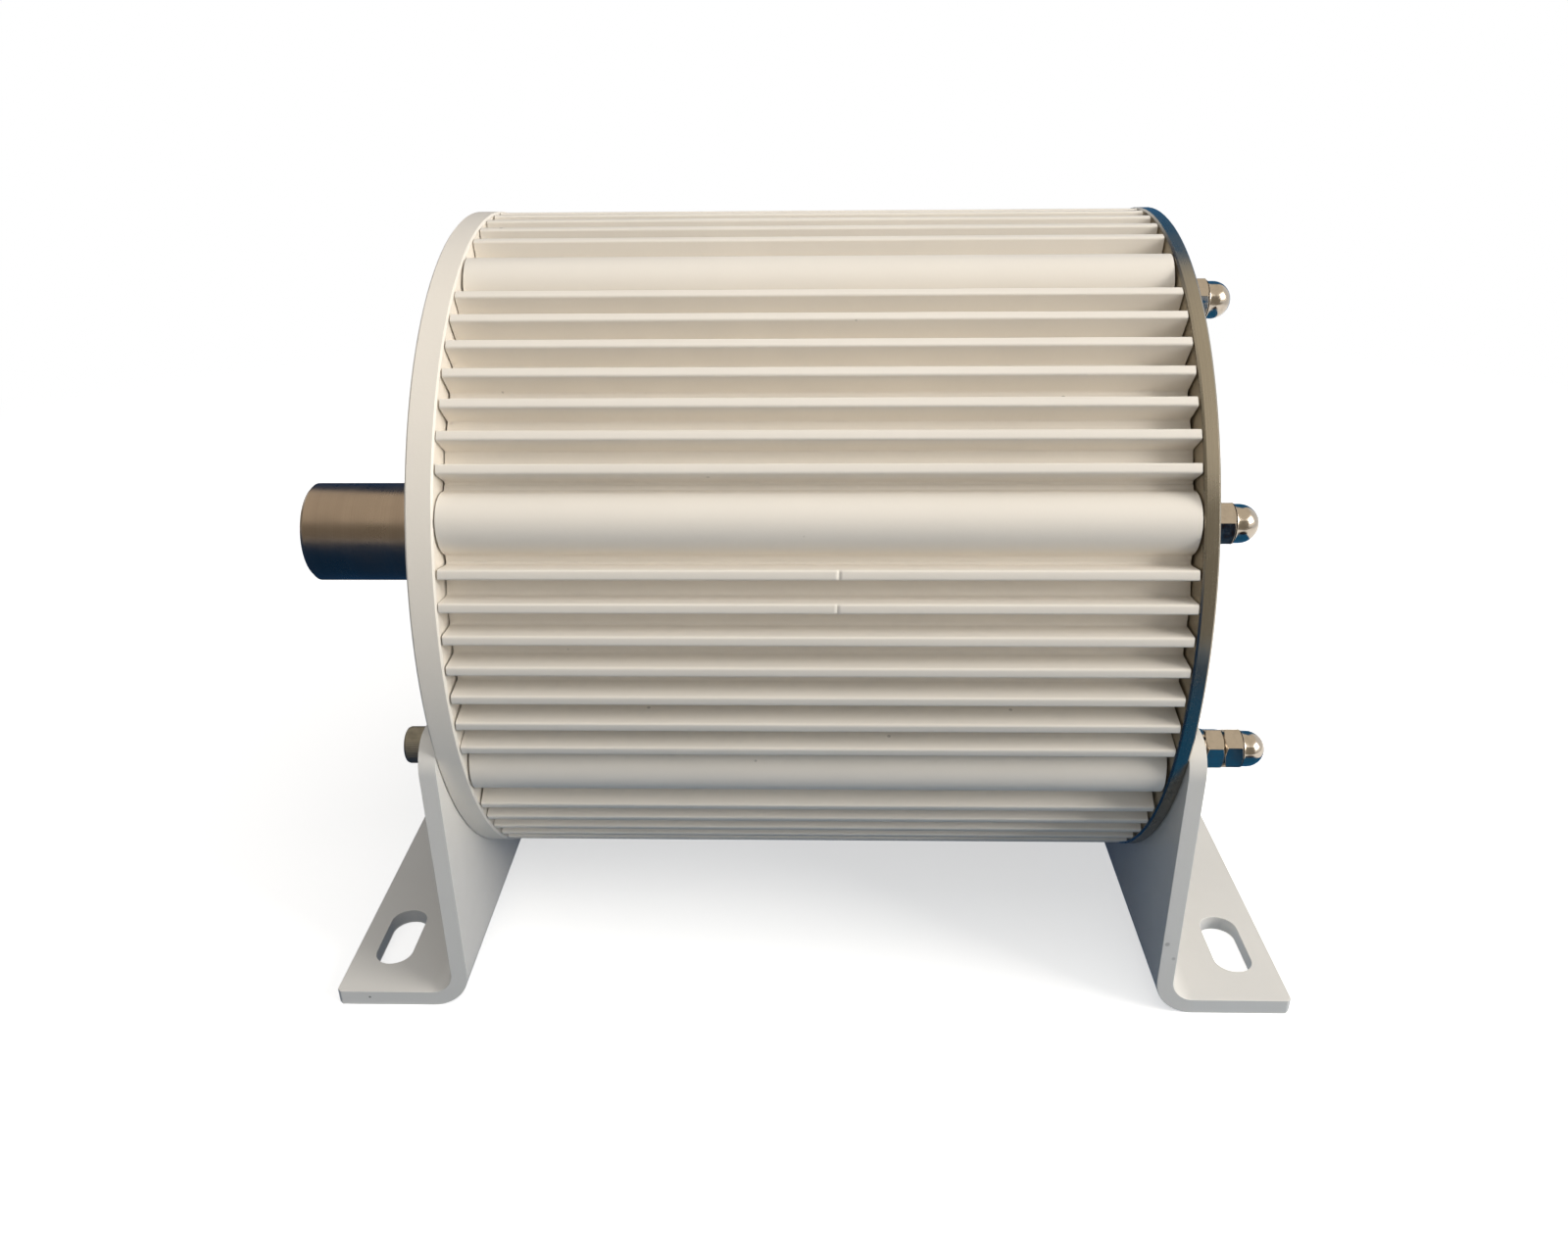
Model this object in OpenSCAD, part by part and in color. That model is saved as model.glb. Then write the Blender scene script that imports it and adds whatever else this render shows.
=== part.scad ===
// Permanent magnet generator with a finned extruded housing on two bent plate feet.
// The floor is z = 0, the shaft lies along Y with its free end towards -Y, and the
// origin is the middle of the four foot slots.

/* [Housing] */
// Bore that holds the stator core
housing_bore_d = 200; // [180:1:220]
// Wall between the bore and the valley floor
housing_wall_t = 14.6; // [12:0.1:17]
// Height of the fins above the valley floor
fin_h = 10; // [7:0.1:11]
// Width of a fin at its tip
fin_tip_w = 3.4; // [2.6:0.1:3.8]
// Width of a fin at its root
fin_root_w = 4; // [3.4:0.1:4.4]
// Fillet at the foot of each fin
fin_fillet_r = 1; // [0.4:0.1:1.2]
// Rounding of the fin tip corners
fin_corner_r = 0.8; // [0.3:0.1:1.2]
// Fins between two neighbouring bolt bosses
fins_per_gap = 7; // [5:1:7]
// Flat floor between the fillets of a boss and of the first fin beside it
boss_fin_gap = 0.8; // [0.2:0.1:1.5]
// Radius of the round back of a bolt boss
boss_r = 10; // [8:0.5:10.5]
// How far the bosses stand above the fin tips
boss_rise = 0.3; // [0:0.1:1]
// Fillet at the foot of each boss
boss_fillet_r = 1.5; // [0.5:0.1:2]

/* [Covers] */
// How far the rims of the covers stand past the fin tips
cover_lip = 0.4; // [0.3:0.1:4]
// Distance between the outer faces of the covers
cover_span = 252; // [225:1:290]
// Thickness of the front cover at its rim
front_rim_t = 9; // [7.5:0.5:12]
// Thickness of the rear cover at its rim
rear_rim_t = 5; // [4:0.5:7]
// Chamfer on the rim edges
rim_chamfer = 1.3; // [0.3:0.1:1.4]
// Length of the spigots that centre the covers
spigot_l = 7; // [6:0.5:9]
// Wall around the bearing pockets
hub_wall = 10; // [7:0.5:12]
// Radial ribs inside each cover
rib_count = 8; // [4:1:12]
// Thickness of a rib
rib_t = 6; // [4:0.5:8]
// Depth of a rib below the plate
rib_h = 10; // [6:0.5:12]

/* [Feet] */
// Height of the shaft axis above the floor
axis_h = 142; // [134:0.5:160]
// Width of a foot across the machine
foot_w = 243; // [236:1:260]
// Thickness of the foot plate
foot_t = 6; // [5:0.5:8]
// Length of the foot flange from the cover face
flange_l = 50; // [46:1:64]
// Inner radius of the bend
bend_r = 8.4; // [4:0.2:10]
// Distance from the shaft axis down to the top of the web
web_drop = 30; // [26:0.5:32]
// Radius of the upper web corners
web_corner_r = 12; // [4:0.5:16]
// Radius of the relief in the web around the shaft
web_relief_r = 40; // [34:1:48]
// Edge chamfer of the flange corners
flange_corner = 1.5; // [0.5:0.5:5]
// Width of a fixing slot
slot_w = 14; // [9:0.5:16]
// Length of a fixing slot
slot_l = 32; // [20:1:40]
// Distance from the side of a foot to the middle of its slot
slot_edge = 31.5; // [20:0.5:34]
// Distance from the cover face to the slot centres
slot_reach = 35; // [26:0.5:38]

/* [Shaft] */
// Diameter of the drive end
shaft_d = 40; // [36:1:42]
// Length of the shaft in front of the cover
shaft_out_l = 78; // [70:1:110]
// Diameter of the seat under the shaft seal
seal_seat_d = 42; // [40.5:0.5:44]
// How far that seat stands out of the cover as a shoulder
shoulder_l = 2; // [1:0.5:4]
// Chamfer at both ends of the shaft
shaft_chamfer = 1.5; // [0.5:0.1:3]
// Direction of the keyway, counted from +X towards +Z
keyway_angle = 216; // [150:1:290]
// Width of the keyway in the drive end
keyway_w = 12; // [8:0.5:13]
// Depth of the keyway
keyway_t = 5; // [3:0.1:6]
// Length of the keyway
keyway_l = 56; // [30:1:60]
// Distance from the keyway to the shaft end
keyway_inset = 8; // [4:1:14]
// Diameter of the seat that carries the rotor core
rotor_seat_d = 50; // [47:0.5:54]
// Diameter of the collar in front of the rotor core
collar_d = 60; // [57:0.5:64]
// Bore of the centre drilling in the shaft ends
centre_d = 5; // [3:0.5:8]

/* [Stator] */
// Room between the outer face of a cover and the laminated core
end_room = 50; // [46:1:56]
// Height of the teeth from the bore to the bottom of the slots
tooth_h = 24; // [21:0.5:27]
// Thickness of the closed ring behind the slots
yoke_t = 10; // [7:0.5:11]
// Width of a tooth
tooth_w = 11; // [9:0.25:12]
// Thickness of the tooth tips
tip_t = 3; // [2:0.1:3.2]
// Width of the slot mouths
slot_mouth = 3; // [2:0.1:4]
// Wall of the tooth insulators
liner_t = 0.8; // [0.5:0.1:1]
// Thickness of a coil at its end turns
coil_end_t = 8.5; // [6:0.5:9]
// Radius of the coil corners
coil_corner_r = 6; // [3:0.5:6]

/* [Rotor] */
// Running gap between the rotor and the stator
air_gap = 1.1; // [0.8:0.1:2]
// Wall of the sleeve that holds the magnets
sleeve_t = 0.9; // [0.6:0.1:1.5]
// Thickness of a magnet
magnet_t = 6; // [4:0.25:7]
// Angle that one magnet covers
magnet_arc = 19.5; // [16:0.1:20]
// Thickness of the rotor end plates
end_plate_t = 3; // [2:0.25:4]
// Holes through the rotor core
light_hole_count = 8; // [4:1:8]
// Diameter of the holes through the rotor core
light_hole_d = 16; // [8:0.5:18]
// Width of the rotor key
rotor_key_w = 14; // [10:0.5:14]
// Height of the rotor key
rotor_key_h = 9; // [7:0.25:9]
// Length of the rotor key
rotor_key_l = 100; // [60:1:110]

/* [Bearings] */
// Bore of the front bearing
front_bore_d = 45; // [45:0.5:46]
// Outside diameter of the front bearing
front_od = 85; // [82:0.5:90]
// Width of the front bearing
front_w = 19; // [17:0.5:20]
// Ball diameter of the front bearing
front_ball_d = 12; // [9:0.25:12.5]
// Bore of the rear bearing
rear_bore_d = 35; // [32:0.5:36]
// Outside diameter of the rear bearing
rear_od = 72; // [68:0.5:76]
// Width of the rear bearing
rear_w = 17; // [15:0.5:18]
// Ball diameter of the rear bearing
rear_ball_d = 10.5; // [8:0.25:11]
// Balls in each bearing
ball_count = 9; // [7:1:10]
// Free height of the wave spring behind the rear bearing
wave_spring_h = 3; // [2:0.1:4]

/* [Seals] */
// Outside diameter of the shaft seal
seal_od = 62; // [58:0.5:66]
// Width of the shaft seal
seal_w = 8; // [7:0.25:9]
// Thickness of the cover O-rings
oring_d = 2.4; // [1.8:0.1:3]

/* [Fasteners] */
// Thread diameter of the long screws
bolt_d = 8; // [6:0.5:8]
// How far the screws lie inside the valley floor
bolt_inset = 5.8; // [4.8:0.1:6.5]
// Diameter of the clearance holes for the long screws
bolt_hole_d = 9; // [8.6:0.1:9.4]
// Diameter of the socket heads
head_d = 13; // [12:0.5:14]
// Height of the socket heads
head_h = 8; // [6:0.5:9]
// Width across the flats of the hexagon sockets
socket_af = 6; // [5:0.5:6.5]
// Diameter of the countersunk heads
sunk_head_d = 16; // [14:0.5:17]
// Width across the flats of the nuts
nut_af = 13; // [12.5:0.5:14]
// Height of the hexagon nuts
nut_h = 6.5; // [5:0.5:8]
// Height of the domed nuts
acorn_h = 15; // [14:0.5:18]
// Diameter of the domes
dome_d = 12.5; // [11:0.5:12.5]
// Outside diameter of the flat washers
washer_d = 16; // [15:0.5:18]
// Thickness of the flat washers
washer_t = 1.6; // [1:0.1:2]
// Thickness of the spring washers
spring_t = 2.2; // [1.6:0.1:2.6]

/* [Cable gland] */
// Distance of the gland from the shaft axis
gland_r = 65; // [64:0.5:68]
// Direction of the gland from the shaft axis
gland_angle = 148; // [140:1:160]
// Diameter of the gland thread
gland_thread_d = 20; // [18:0.5:20]
// Width across the flats of the gland
gland_af = 24; // [23:0.5:26]
// Cable hole through the gland seal
cable_d = 11; // [8:0.5:12]

/* [Hidden] */
$fn = 96;

// Gap between round faces that seat in each other
fit_gap = 0.05;
// Gap between pieces that turn past each other
run_gap = 0.3;
// Overlap of cutting shapes past the faces that they cut
cut = 1;
// Overlap that joins two shapes of one piece
weld = 0.5;

// Housing profile
boss_count = 8;
boss_pitch = 360 / boss_count;
bore_r = housing_bore_d / 2;
valley_r = bore_r + housing_wall_t;
fin_tip_r = valley_r + fin_h;
boss_mid_r = fin_tip_r + boss_rise - boss_r;
fin_draft = atan((fin_root_w - fin_tip_w) / 2 / fin_h);
arc_steps = 2;
boss_steps = 14;
boss_fillet_u = valley_r + boss_fillet_r - boss_mid_r;
boss_fillet_v = sqrt(pow(boss_r + boss_fillet_r, 2) - pow(boss_fillet_u, 2));
boss_end_angle = atan2(boss_fillet_v, boss_fillet_u);
first_fin_l = boss_fillet_v + boss_fin_gap + fin_fillet_r + fin_root_w / 2;
first_fin_angle = first_fin_l / valley_r * 180 / PI;
fin_pitch = (boss_pitch - 2 * first_fin_angle) / (fins_per_gap - 1);

// Places along the shaft, from the front to the rear
front_face = -cover_span / 2;
rear_face = cover_span / 2;
housing_front = front_face + front_rim_t;
housing_rear = rear_face - rear_rim_t;
seal_lip_t = 3;
front_brg_front = front_face + seal_w + seal_lip_t;
front_brg_rear = front_brg_front + front_w;
circlip_t = 2.5;
circlip_land = 3;
circlip_groove_t = 2;
front_hub_end = front_brg_rear + circlip_t + circlip_land;
rear_wall_t = 5;
rear_pocket_lip = 2;
rear_pocket_end = rear_face - rear_wall_t;
rear_brg_rear = rear_pocket_end - wave_spring_h;
rear_brg_front = rear_brg_rear - rear_w;
rear_hub_end = rear_brg_front - rear_pocket_lip;
core_l = cover_span - 2 * end_room;
core_front = -core_l / 2;
core_rear = core_l / 2;

// Radii of the covers
cover_r = fin_tip_r + cover_lip;
spigot_r = bore_r - fit_gap;
front_hub_r = front_od / 2 + hub_wall;
rear_hub_r = rear_od / 2 + hub_wall;
seal_shoulder = 6;
front_web_t = 1;
rear_web_t = 2;
oring_groove_w = oring_d + 0.6;
oring_mid_r = spigot_r - oring_d / 2;
spigot_in_r = spigot_r - 2 * oring_d;

// Long screws and what they hold
bolt_r = bolt_d / 2 - fit_gap;
bolt_circle_r = valley_r - bolt_inset;
upper_bolts = [boss_pitch / 2, boss_pitch * 1.5, boss_pitch * 2.5, boss_pitch * 3.5];
lower_bolts = [for (a = upper_bolts) -a];
web_front = front_face - foot_t;
web_rear = rear_face + foot_t;
web_h = axis_h - web_drop;
slot_pitch_x = foot_w - 2 * slot_edge;
thread_in_dome = 9;
sunk_head_h = (sunk_head_d - bolt_d) / 2;
sunk_rim_w = 0.3;
sunk_gap = 0.1;
head_edge = 0.8;
washer_hole_d = bolt_d + 0.4;
spring_od = nut_af + 0.8;
spring_split_w = 1.2;
spring_split_angle = 60;
nut_face_inset = 0.3;
dome_neck_l = 2.25;
af_to_r = 1 / cos(30);

// How far the hexagons are turned, as they were left after tightening
nut_turn = 32;
foot_dome_turn = 29;
cover_dome_turn = 39;
socket_turn = 15;

// Stator and windings
tooth_count = 18;
tooth_pitch = 360 / tooth_count;
core_r = bore_r - fit_gap;
slot_bottom_r = bore_r - yoke_t;
stator_bore_r = slot_bottom_r - tooth_h;
half_slot = tan(tooth_pitch / 2);
flank_offset = tooth_w / 2 / cos(tooth_pitch / 2);
slot_neck_r = stator_bore_r + tip_t;
slot_shoulder_r = slot_neck_r + 1.5;
collar_in_r = slot_shoulder_r + 0.9;
coil_in_r = collar_in_r + liner_t + 0.1;
collar_out_r = slot_bottom_r * cos(tooth_pitch / 2) - 1;
coil_out_r = collar_out_r - liner_t - 0.1;
liner_half_w = tooth_w / 2 + fit_gap + liner_t;
liner_half_l = core_l / 2 + fit_gap + liner_t;
coil_hole_half_w = liner_half_w + 0.1;
coil_hole_half_l = liner_half_l + 0.1;
coil_half_l = coil_hole_half_l + coil_end_t;
coil_side_gap = 0.4;

// Rotor
pole_count = 16;
pole_pitch = 360 / pole_count;
sleeve_r = stator_bore_r - air_gap;
magnet_out_r = sleeve_r - sleeve_t - fit_gap;
magnet_in_r = magnet_out_r - magnet_t;
magnet_end_gap = 0.5;
magnet_side_gap = 0.3;
magnet_rib_rise = 2.4;
rotor_core_r = magnet_in_r - fit_gap;
rotor_front = core_front - end_plate_t;
rotor_rear = core_rear + end_plate_t;
rotor_clip_t = 2;
rotor_groove_t = 1.5;
rotor_seat_r = rotor_seat_d / 2;
rotor_key_depth = 5.4;
light_hole_r = (rotor_seat_r + rotor_core_r) / 2 + 1.5;

// Shoulders and runouts of the shaft
bearing_shoulder = 3.5;
collar_inset = 5;
rear_seat_inset = 4;
rear_stub_l = 1;
centre_cone_l = 4;
centre_drill_l = 12;
lip_gap = 0.1;

// Bearings, as shares of the ball diameter and as clearances
land_share = 0.28;
cage_share = 0.16;
cage_wall = 1;
pocket_gap = 0.3;
shield_t = 0.8;
shield_inset = 0.5;
shield_lip = 1.2;
shield_gap = 0.4;

// Cable gland
gland_x = gland_r * cos(gland_angle);
gland_z = axis_h + gland_r * sin(gland_angle);
gland_washer_t = 1.5;
gland_flange_t = 6;
gland_nut_gap = 0.5;
gland_nut_l = 17;
gland_lock_t = 4.5;
gland_thread_spare = 2;
gland_wall = 2;
gland_neck_gap = 0.5;
gland_nose_t = 3;
gland_claw_inset = 6;
gland_hole_d = gland_thread_d + 0.5;
gland_room_r = gland_af / 2 * af_to_r + 3;
gland_passage_r = cable_d / 2 + 0.8;
gland_flange_y = rear_face + gland_washer_t;
gland_flange_end = gland_flange_y + gland_flange_t;
gland_nut_y = gland_flange_end + gland_nut_gap;
gland_nut_end = gland_nut_y + gland_nut_l;
gland_claw_end = gland_nut_end - gland_claw_inset;
gland_neck_r = gland_thread_d / 2 - gland_neck_gap;
gland_seal_r = gland_thread_d / 2 - gland_wall;

paint = [0.86, 0.83, 0.78];
bare_metal = [0.60, 0.58, 0.52];
steel = [0.62, 0.60, 0.57];
bright_steel = [0.78, 0.77, 0.75];

// A point at radius r and angle a, with the angle counted from +X towards +Z
function polar(r, a) = [r * cos(a), r * sin(a)];

// A point given by its distance u along the direction a and v across it
function along(u, v, a) = [u * cos(a) - v * sin(a), u * sin(a) + v * cos(a)];

// Extrudes a drawing in the X-Z plane, centred on the shaft, from y0 to y1
module span(y0, y1) {
    translate([0, y1, axis_h])
        rotate([90, 0, 0])
            linear_extrude(height = y1 - y0)
                children();
}

// Turns a profile of [radius, y] points around the shaft
module turned(profile) {
    translate([0, 0, axis_h])
        rotate([90, 0, 0])
            rotate_extrude()
                polygon([for (p = profile) [p[0], -p[1]]]);
}

// A ring around the shaft from y0 to y1
module ring(r_out, r_in, y0, y1) {
    span(y0, y1)
        difference() {
            circle(r = r_out);
            circle(r = r_in);
        }
}

// A cylinder along Y at a place on the bolt circle
module peg(r, a, y0, y1) {
    span(y0, y1)
        translate(polar(bolt_circle_r, a))
            circle(r = r);
}

// A hexagon across the flats, turned by a
module hexagon(af, a = 0) {
    rotate(a)
        circle(r = af / 2 * af_to_r, $fn = 6);
}

// A slice of a circle between two angles
module wedge(r, a0, a1) {
    far = r / cos((a1 - a0) / 2) + cut;
    polygon([[0, 0], polar(far, a0), polar(far, a1)]);
}

// One flank of a fin from the valley floor to the tip, with u outwards and v across
function fin_flank(side) = concat(
    [for (i = [0:arc_steps])
        let (t = i * (90 - fin_draft) / arc_steps)
        [valley_r + fin_fillet_r - fin_fillet_r * cos(t),
         side * (fin_root_w / 2 + fin_fillet_r - fin_fillet_r * sin(t))]],
    [for (i = [0:arc_steps])
        let (t = fin_draft + i * (90 - fin_draft) / arc_steps)
        [fin_tip_r - fin_corner_r + fin_corner_r * sin(t),
         side * (fin_tip_w / 2 - fin_corner_r + fin_corner_r * cos(t))]]
);

// One flank of a boss: a hollow fillet that runs into the round back
function boss_flank(side) = concat(
    [for (i = [0:arc_steps])
        let (t = i * boss_end_angle / (arc_steps + 1))
        [valley_r + boss_fillet_r - boss_fillet_r * cos(t),
         side * (boss_fillet_v - boss_fillet_r * sin(t))]],
    [for (i = [0:boss_steps / 2])
        let (t = boss_end_angle * (1 - 2 * i / boss_steps))
        [boss_mid_r + boss_r * cos(t), side * boss_r * sin(t)]]
);

function reversed(list) = [for (i = [len(list) - 1:-1:0]) list[i]];

function turned_points(points, a) = [for (p = points) along(p[0], p[1], a)];

// The whole outline of the housing: eight bosses with rows of fins between them
function housing_outline() = [
    for (b = [0:boss_count - 1])
        let (a = boss_pitch * (b + 0.5))
        each concat(
            turned_points(concat(boss_flank(-1), reversed(boss_flank(1))), a),
            [for (f = [0:fins_per_gap - 1])
                each turned_points(
                    concat(fin_flank(-1), reversed(fin_flank(1))),
                    a + first_fin_angle + f * fin_pitch)]
        )
];

module housing() {
    color(paint)
        span(housing_front, housing_rear)
            difference() {
                polygon(housing_outline());
                circle(r = bore_r);
                for (a = concat(upper_bolts, lower_bolts))
                    translate(polar(bolt_circle_r, a))
                        circle(d = bolt_hole_d);
            }
}

// Radial ribs between the bearing hub and the spigot of a cover
module cover_ribs(hub_r, y0, y1) {
    for (i = [0:rib_count - 1])
        span(y0, y1)
            rotate(i * 360 / rib_count)
                translate([hub_r - cut, -rib_t / 2])
                    square([spigot_in_r - hub_r + cut, rib_t]);
}

module front_cover() {
    inner = housing_front;
    groove = inner + (spigot_l - oring_groove_w) / 2;
    window_r = seal_od / 2 - seal_shoulder;
    plate_end = housing_front + front_web_t;
    color(paint)
        difference() {
            union() {
                turned([
                    [window_r, front_face],
                    [cover_r - rim_chamfer, front_face],
                    [cover_r, front_face + rim_chamfer],
                    [cover_r, inner - rim_chamfer],
                    [cover_r - rim_chamfer, inner],
                    [spigot_r, inner],
                    [spigot_r, groove],
                    [spigot_r - oring_d, groove],
                    [spigot_r - oring_d, groove + oring_groove_w],
                    [spigot_r, groove + oring_groove_w],
                    [spigot_r, inner + spigot_l],
                    [spigot_in_r, inner + spigot_l],
                    [spigot_in_r, plate_end],
                    [front_hub_r, plate_end],
                    [front_hub_r, front_hub_end],
                    [window_r, front_hub_end]
                ]);
                cover_ribs(front_hub_r, plate_end - cut, plate_end + rib_h);
            }
            ring(seal_od / 2 + fit_gap, 0, front_face - cut, front_face + seal_w);
            ring(front_od / 2 + fit_gap, 0, front_brg_front, front_hub_end + cut);
            ring(front_od / 2 + circlip_groove_t, 0, front_brg_rear, front_brg_rear + circlip_t + fit_gap);
            for (a = concat(upper_bolts, lower_bolts))
                peg(bolt_hole_d / 2, a, front_face - cut, inner + cut);
            for (a = upper_bolts)
                countersink(a, front_face, sunk_gap);
        }
}

// The cone that a countersunk head needs, with a gap around it
module countersink(a, face, gap) {
    translate([0, face + sunk_head_h, axis_h])
        rotate([90, 0, 0])
            translate(concat(polar(bolt_circle_r, a), [0]))
                cylinder(r1 = bolt_d / 2 + gap, r2 = sunk_head_d / 2 + gap, h = sunk_head_h + fit_gap);
}

module rear_cover() {
    inner = housing_rear;
    groove = inner - (spigot_l + oring_groove_w) / 2;
    plate_end = housing_rear - rear_web_t;
    color(bare_metal)
        difference() {
            union() {
                turned([
                    [0, rear_face],
                    [cover_r - rim_chamfer, rear_face],
                    [cover_r, rear_face - rim_chamfer],
                    [cover_r, inner + rim_chamfer],
                    [cover_r - rim_chamfer, inner],
                    [spigot_r, inner],
                    [spigot_r, groove + oring_groove_w],
                    [spigot_r - oring_d, groove + oring_groove_w],
                    [spigot_r - oring_d, groove],
                    [spigot_r, groove],
                    [spigot_r, inner - spigot_l],
                    [spigot_in_r, inner - spigot_l],
                    [spigot_in_r, plate_end],
                    [rear_hub_r, plate_end],
                    [rear_hub_r, rear_hub_end],
                    [0, rear_hub_end]
                ]);
                difference() {
                    cover_ribs(rear_hub_r, plate_end - rib_h, plate_end + cut);
                    gland_disc(gland_room_r, plate_end - rib_h - cut, plate_end);
                }
            }
            ring(rear_od / 2 + fit_gap, 0, rear_hub_end - cut, rear_pocket_end);
            gland_disc(gland_room_r, inner - spigot_l, inner);
            gland_disc(gland_hole_d / 2, inner - spigot_l, rear_face + cut);
            for (a = concat(upper_bolts, lower_bolts))
                peg(bolt_hole_d / 2, a, inner - cut, rear_face + cut);
        }
}

// The side view of a foot: the flange lies on the floor and the web stands at v = 0
module foot_section() {
    outer = bend_r + foot_t;
    difference() {
        union() {
            translate([outer, 0])
                square([flange_l - outer, foot_t]);
            translate([0, outer])
                square([foot_t, web_h - outer]);
            intersection() {
                translate([outer, outer])
                    circle(r = outer);
                square(outer);
            }
        }
        translate([outer, outer])
            circle(r = bend_r);
    }
}

// The front view of the web with its rounded corners, relief and screw holes
module web_outline() {
    top = web_h - axis_h;
    difference() {
        union() {
            translate([-foot_w / 2, -axis_h - cut])
                square([foot_w, web_h + cut - web_corner_r]);
            translate([-foot_w / 2 + web_corner_r, -axis_h])
                square([foot_w - 2 * web_corner_r, web_h]);
            for (s = [-1, 1])
                translate([s * (foot_w / 2 - web_corner_r), top - web_corner_r])
                    circle(r = web_corner_r);
        }
        circle(r = web_relief_r);
        for (a = lower_bolts)
            translate(polar(bolt_circle_r, a))
                circle(d = bolt_hole_d);
    }
}

// The top view of the flange with its corner chamfers and fixing slots
module flange_outline() {
    half_w = foot_w / 2;
    difference() {
        polygon([
            [-half_w, -cut], [half_w, -cut],
            [half_w, flange_l - flange_corner], [half_w - flange_corner, flange_l],
            [-half_w + flange_corner, flange_l], [-half_w, flange_l - flange_corner]
        ]);
        for (s = [-1, 1])
            translate([s * slot_pitch_x / 2, slot_reach])
                fixing_slot();
    }
}

module fixing_slot() {
    half_l = (slot_l - slot_w) / 2;
    square([2 * half_l, slot_w], center = true);
    for (s = [-1, 1])
        translate([s * half_l, 0])
            circle(d = slot_w);
}

// The rear foot, with its web against the rear cover
module foot_solid() {
    color(paint)
        intersection() {
            translate([foot_w / 2, rear_face, 0])
                rotate([90, 0, -90])
                    mirror([1, 0, 0])
                        linear_extrude(height = foot_w)
                            foot_section();
            span(rear_face - cut, rear_face + flange_l + cut)
                web_outline();
            translate([0, rear_face, -cut])
                linear_extrude(height = web_h + 2 * cut)
                    flange_outline();
        }
}

module rear_foot() {
    foot_solid();
}

module front_foot() {
    mirror([0, 1, 0])
        foot_solid();
}

module front_cover_oring() {
    color("#202020")
        oring(housing_front + spigot_l / 2);
}

module rear_cover_oring() {
    color("#202020")
        oring(housing_rear - spigot_l / 2);
}

module oring(y) {
    translate([0, y, axis_h])
        rotate([90, 0, 0])
            rotate_extrude()
                translate([oring_mid_r, 0])
                    circle(d = oring_d - 2 * fit_gap, $fn = 32);
}

module foot_bolts() {
    under_head = web_front - washer_t;
    tip = web_rear + washer_t + spring_t + nut_h + thread_in_dome;
    color([0.45, 0.43, 0.40])
        for (a = lower_bolts)
            union() {
                peg(bolt_r, a, under_head - weld, tip);
                difference() {
                    socket_head(a, under_head);
                    span(under_head - head_h - cut, under_head - head_h / 2)
                        translate(polar(bolt_circle_r, a))
                            hexagon(socket_af, socket_turn);
                }
            }
}

// A cylinder head whose outer edge is turned off
module socket_head(a, under_head) {
    translate([0, under_head, axis_h])
        rotate([90, 0, 0])
            translate(concat(polar(bolt_circle_r, a), [0]))
                rotate_extrude()
                    polygon([
                        [0, 0], [head_d / 2, 0], [head_d / 2, head_h - head_edge],
                        [head_d / 2 - head_edge, head_h], [0, head_h]
                    ]);
}

module cover_screws() {
    tip = rear_face + washer_t + thread_in_dome;
    color([0.45, 0.43, 0.40])
        for (a = upper_bolts)
            difference() {
                union() {
                    peg(bolt_r, a, front_face + sunk_head_h / 2, tip);
                    intersection() {
                        countersink(a, front_face, 0);
                        peg(sunk_head_d / 2 - sunk_rim_w, a, front_face, front_face + sunk_head_h);
                    }
                }
                span(front_face - cut, front_face + sunk_head_h * 0.75)
                    translate(polar(bolt_circle_r, a))
                        hexagon(socket_af - 1, socket_turn);
            }
}

module washer_solid(a, y0) {
    span(y0, y0 + washer_t)
        translate(polar(bolt_circle_r, a))
            difference() {
                circle(d = washer_d);
                circle(d = washer_hole_d);
            }
}

module flat_washers() {
    color(bright_steel) {
        for (a = lower_bolts) {
            washer_solid(a, web_front - washer_t);
            washer_solid(a, web_rear);
        }
        for (a = upper_bolts)
            washer_solid(a, rear_face);
    }
}

module spring_washers() {
    y0 = web_rear + washer_t;
    color(bright_steel)
        for (a = lower_bolts)
            span(y0, y0 + spring_t)
                translate(polar(bolt_circle_r, a))
                    difference() {
                        circle(d = spring_od);
                        circle(d = washer_hole_d);
                        rotate(spring_split_angle)
                            translate([bolt_d / 4, -spring_split_w / 2])
                                square([spring_od, spring_split_w]);
                    }
}

// A body of revolution that rounds the corners of a hexagon nut, from 0 to h along Z
module corner_cone(h) {
    face_r = nut_af / 2 - nut_face_inset;
    wide_r = nut_af / 2 * af_to_r + cut;
    drop = (wide_r - face_r) * tan(30);
    rotate_extrude()
        polygon([[0, 0], [face_r, 0], [wide_r, drop], [wide_r, h - drop], [face_r, h], [0, h]]);
}

// Places a nut that is drawn along Z on a screw, with its base at y
module on_bolt(a, y) {
    translate([0, y, axis_h])
        rotate([-90, 0, 0])
            translate([bolt_circle_r * cos(a), -bolt_circle_r * sin(a), 0])
                children();
}

module hex_nuts() {
    base = web_rear + washer_t + spring_t;
    color(bright_steel)
        for (a = lower_bolts)
            on_bolt(a, base)
                difference() {
                    intersection() {
                        linear_extrude(height = nut_h)
                            hexagon(nut_af, nut_turn);
                        corner_cone(nut_h);
                    }
                    translate([0, 0, -cut])
                        cylinder(d = bolt_d, h = nut_h + 2 * cut);
                }
}

module acorn_nuts() {
    color(bright_steel) {
        for (a = lower_bolts)
            on_bolt(a, web_rear + washer_t + spring_t + nut_h)
                acorn(foot_dome_turn);
        for (a = upper_bolts)
            on_bolt(a, rear_face + washer_t)
                acorn(cover_dome_turn);
    }
}

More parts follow.
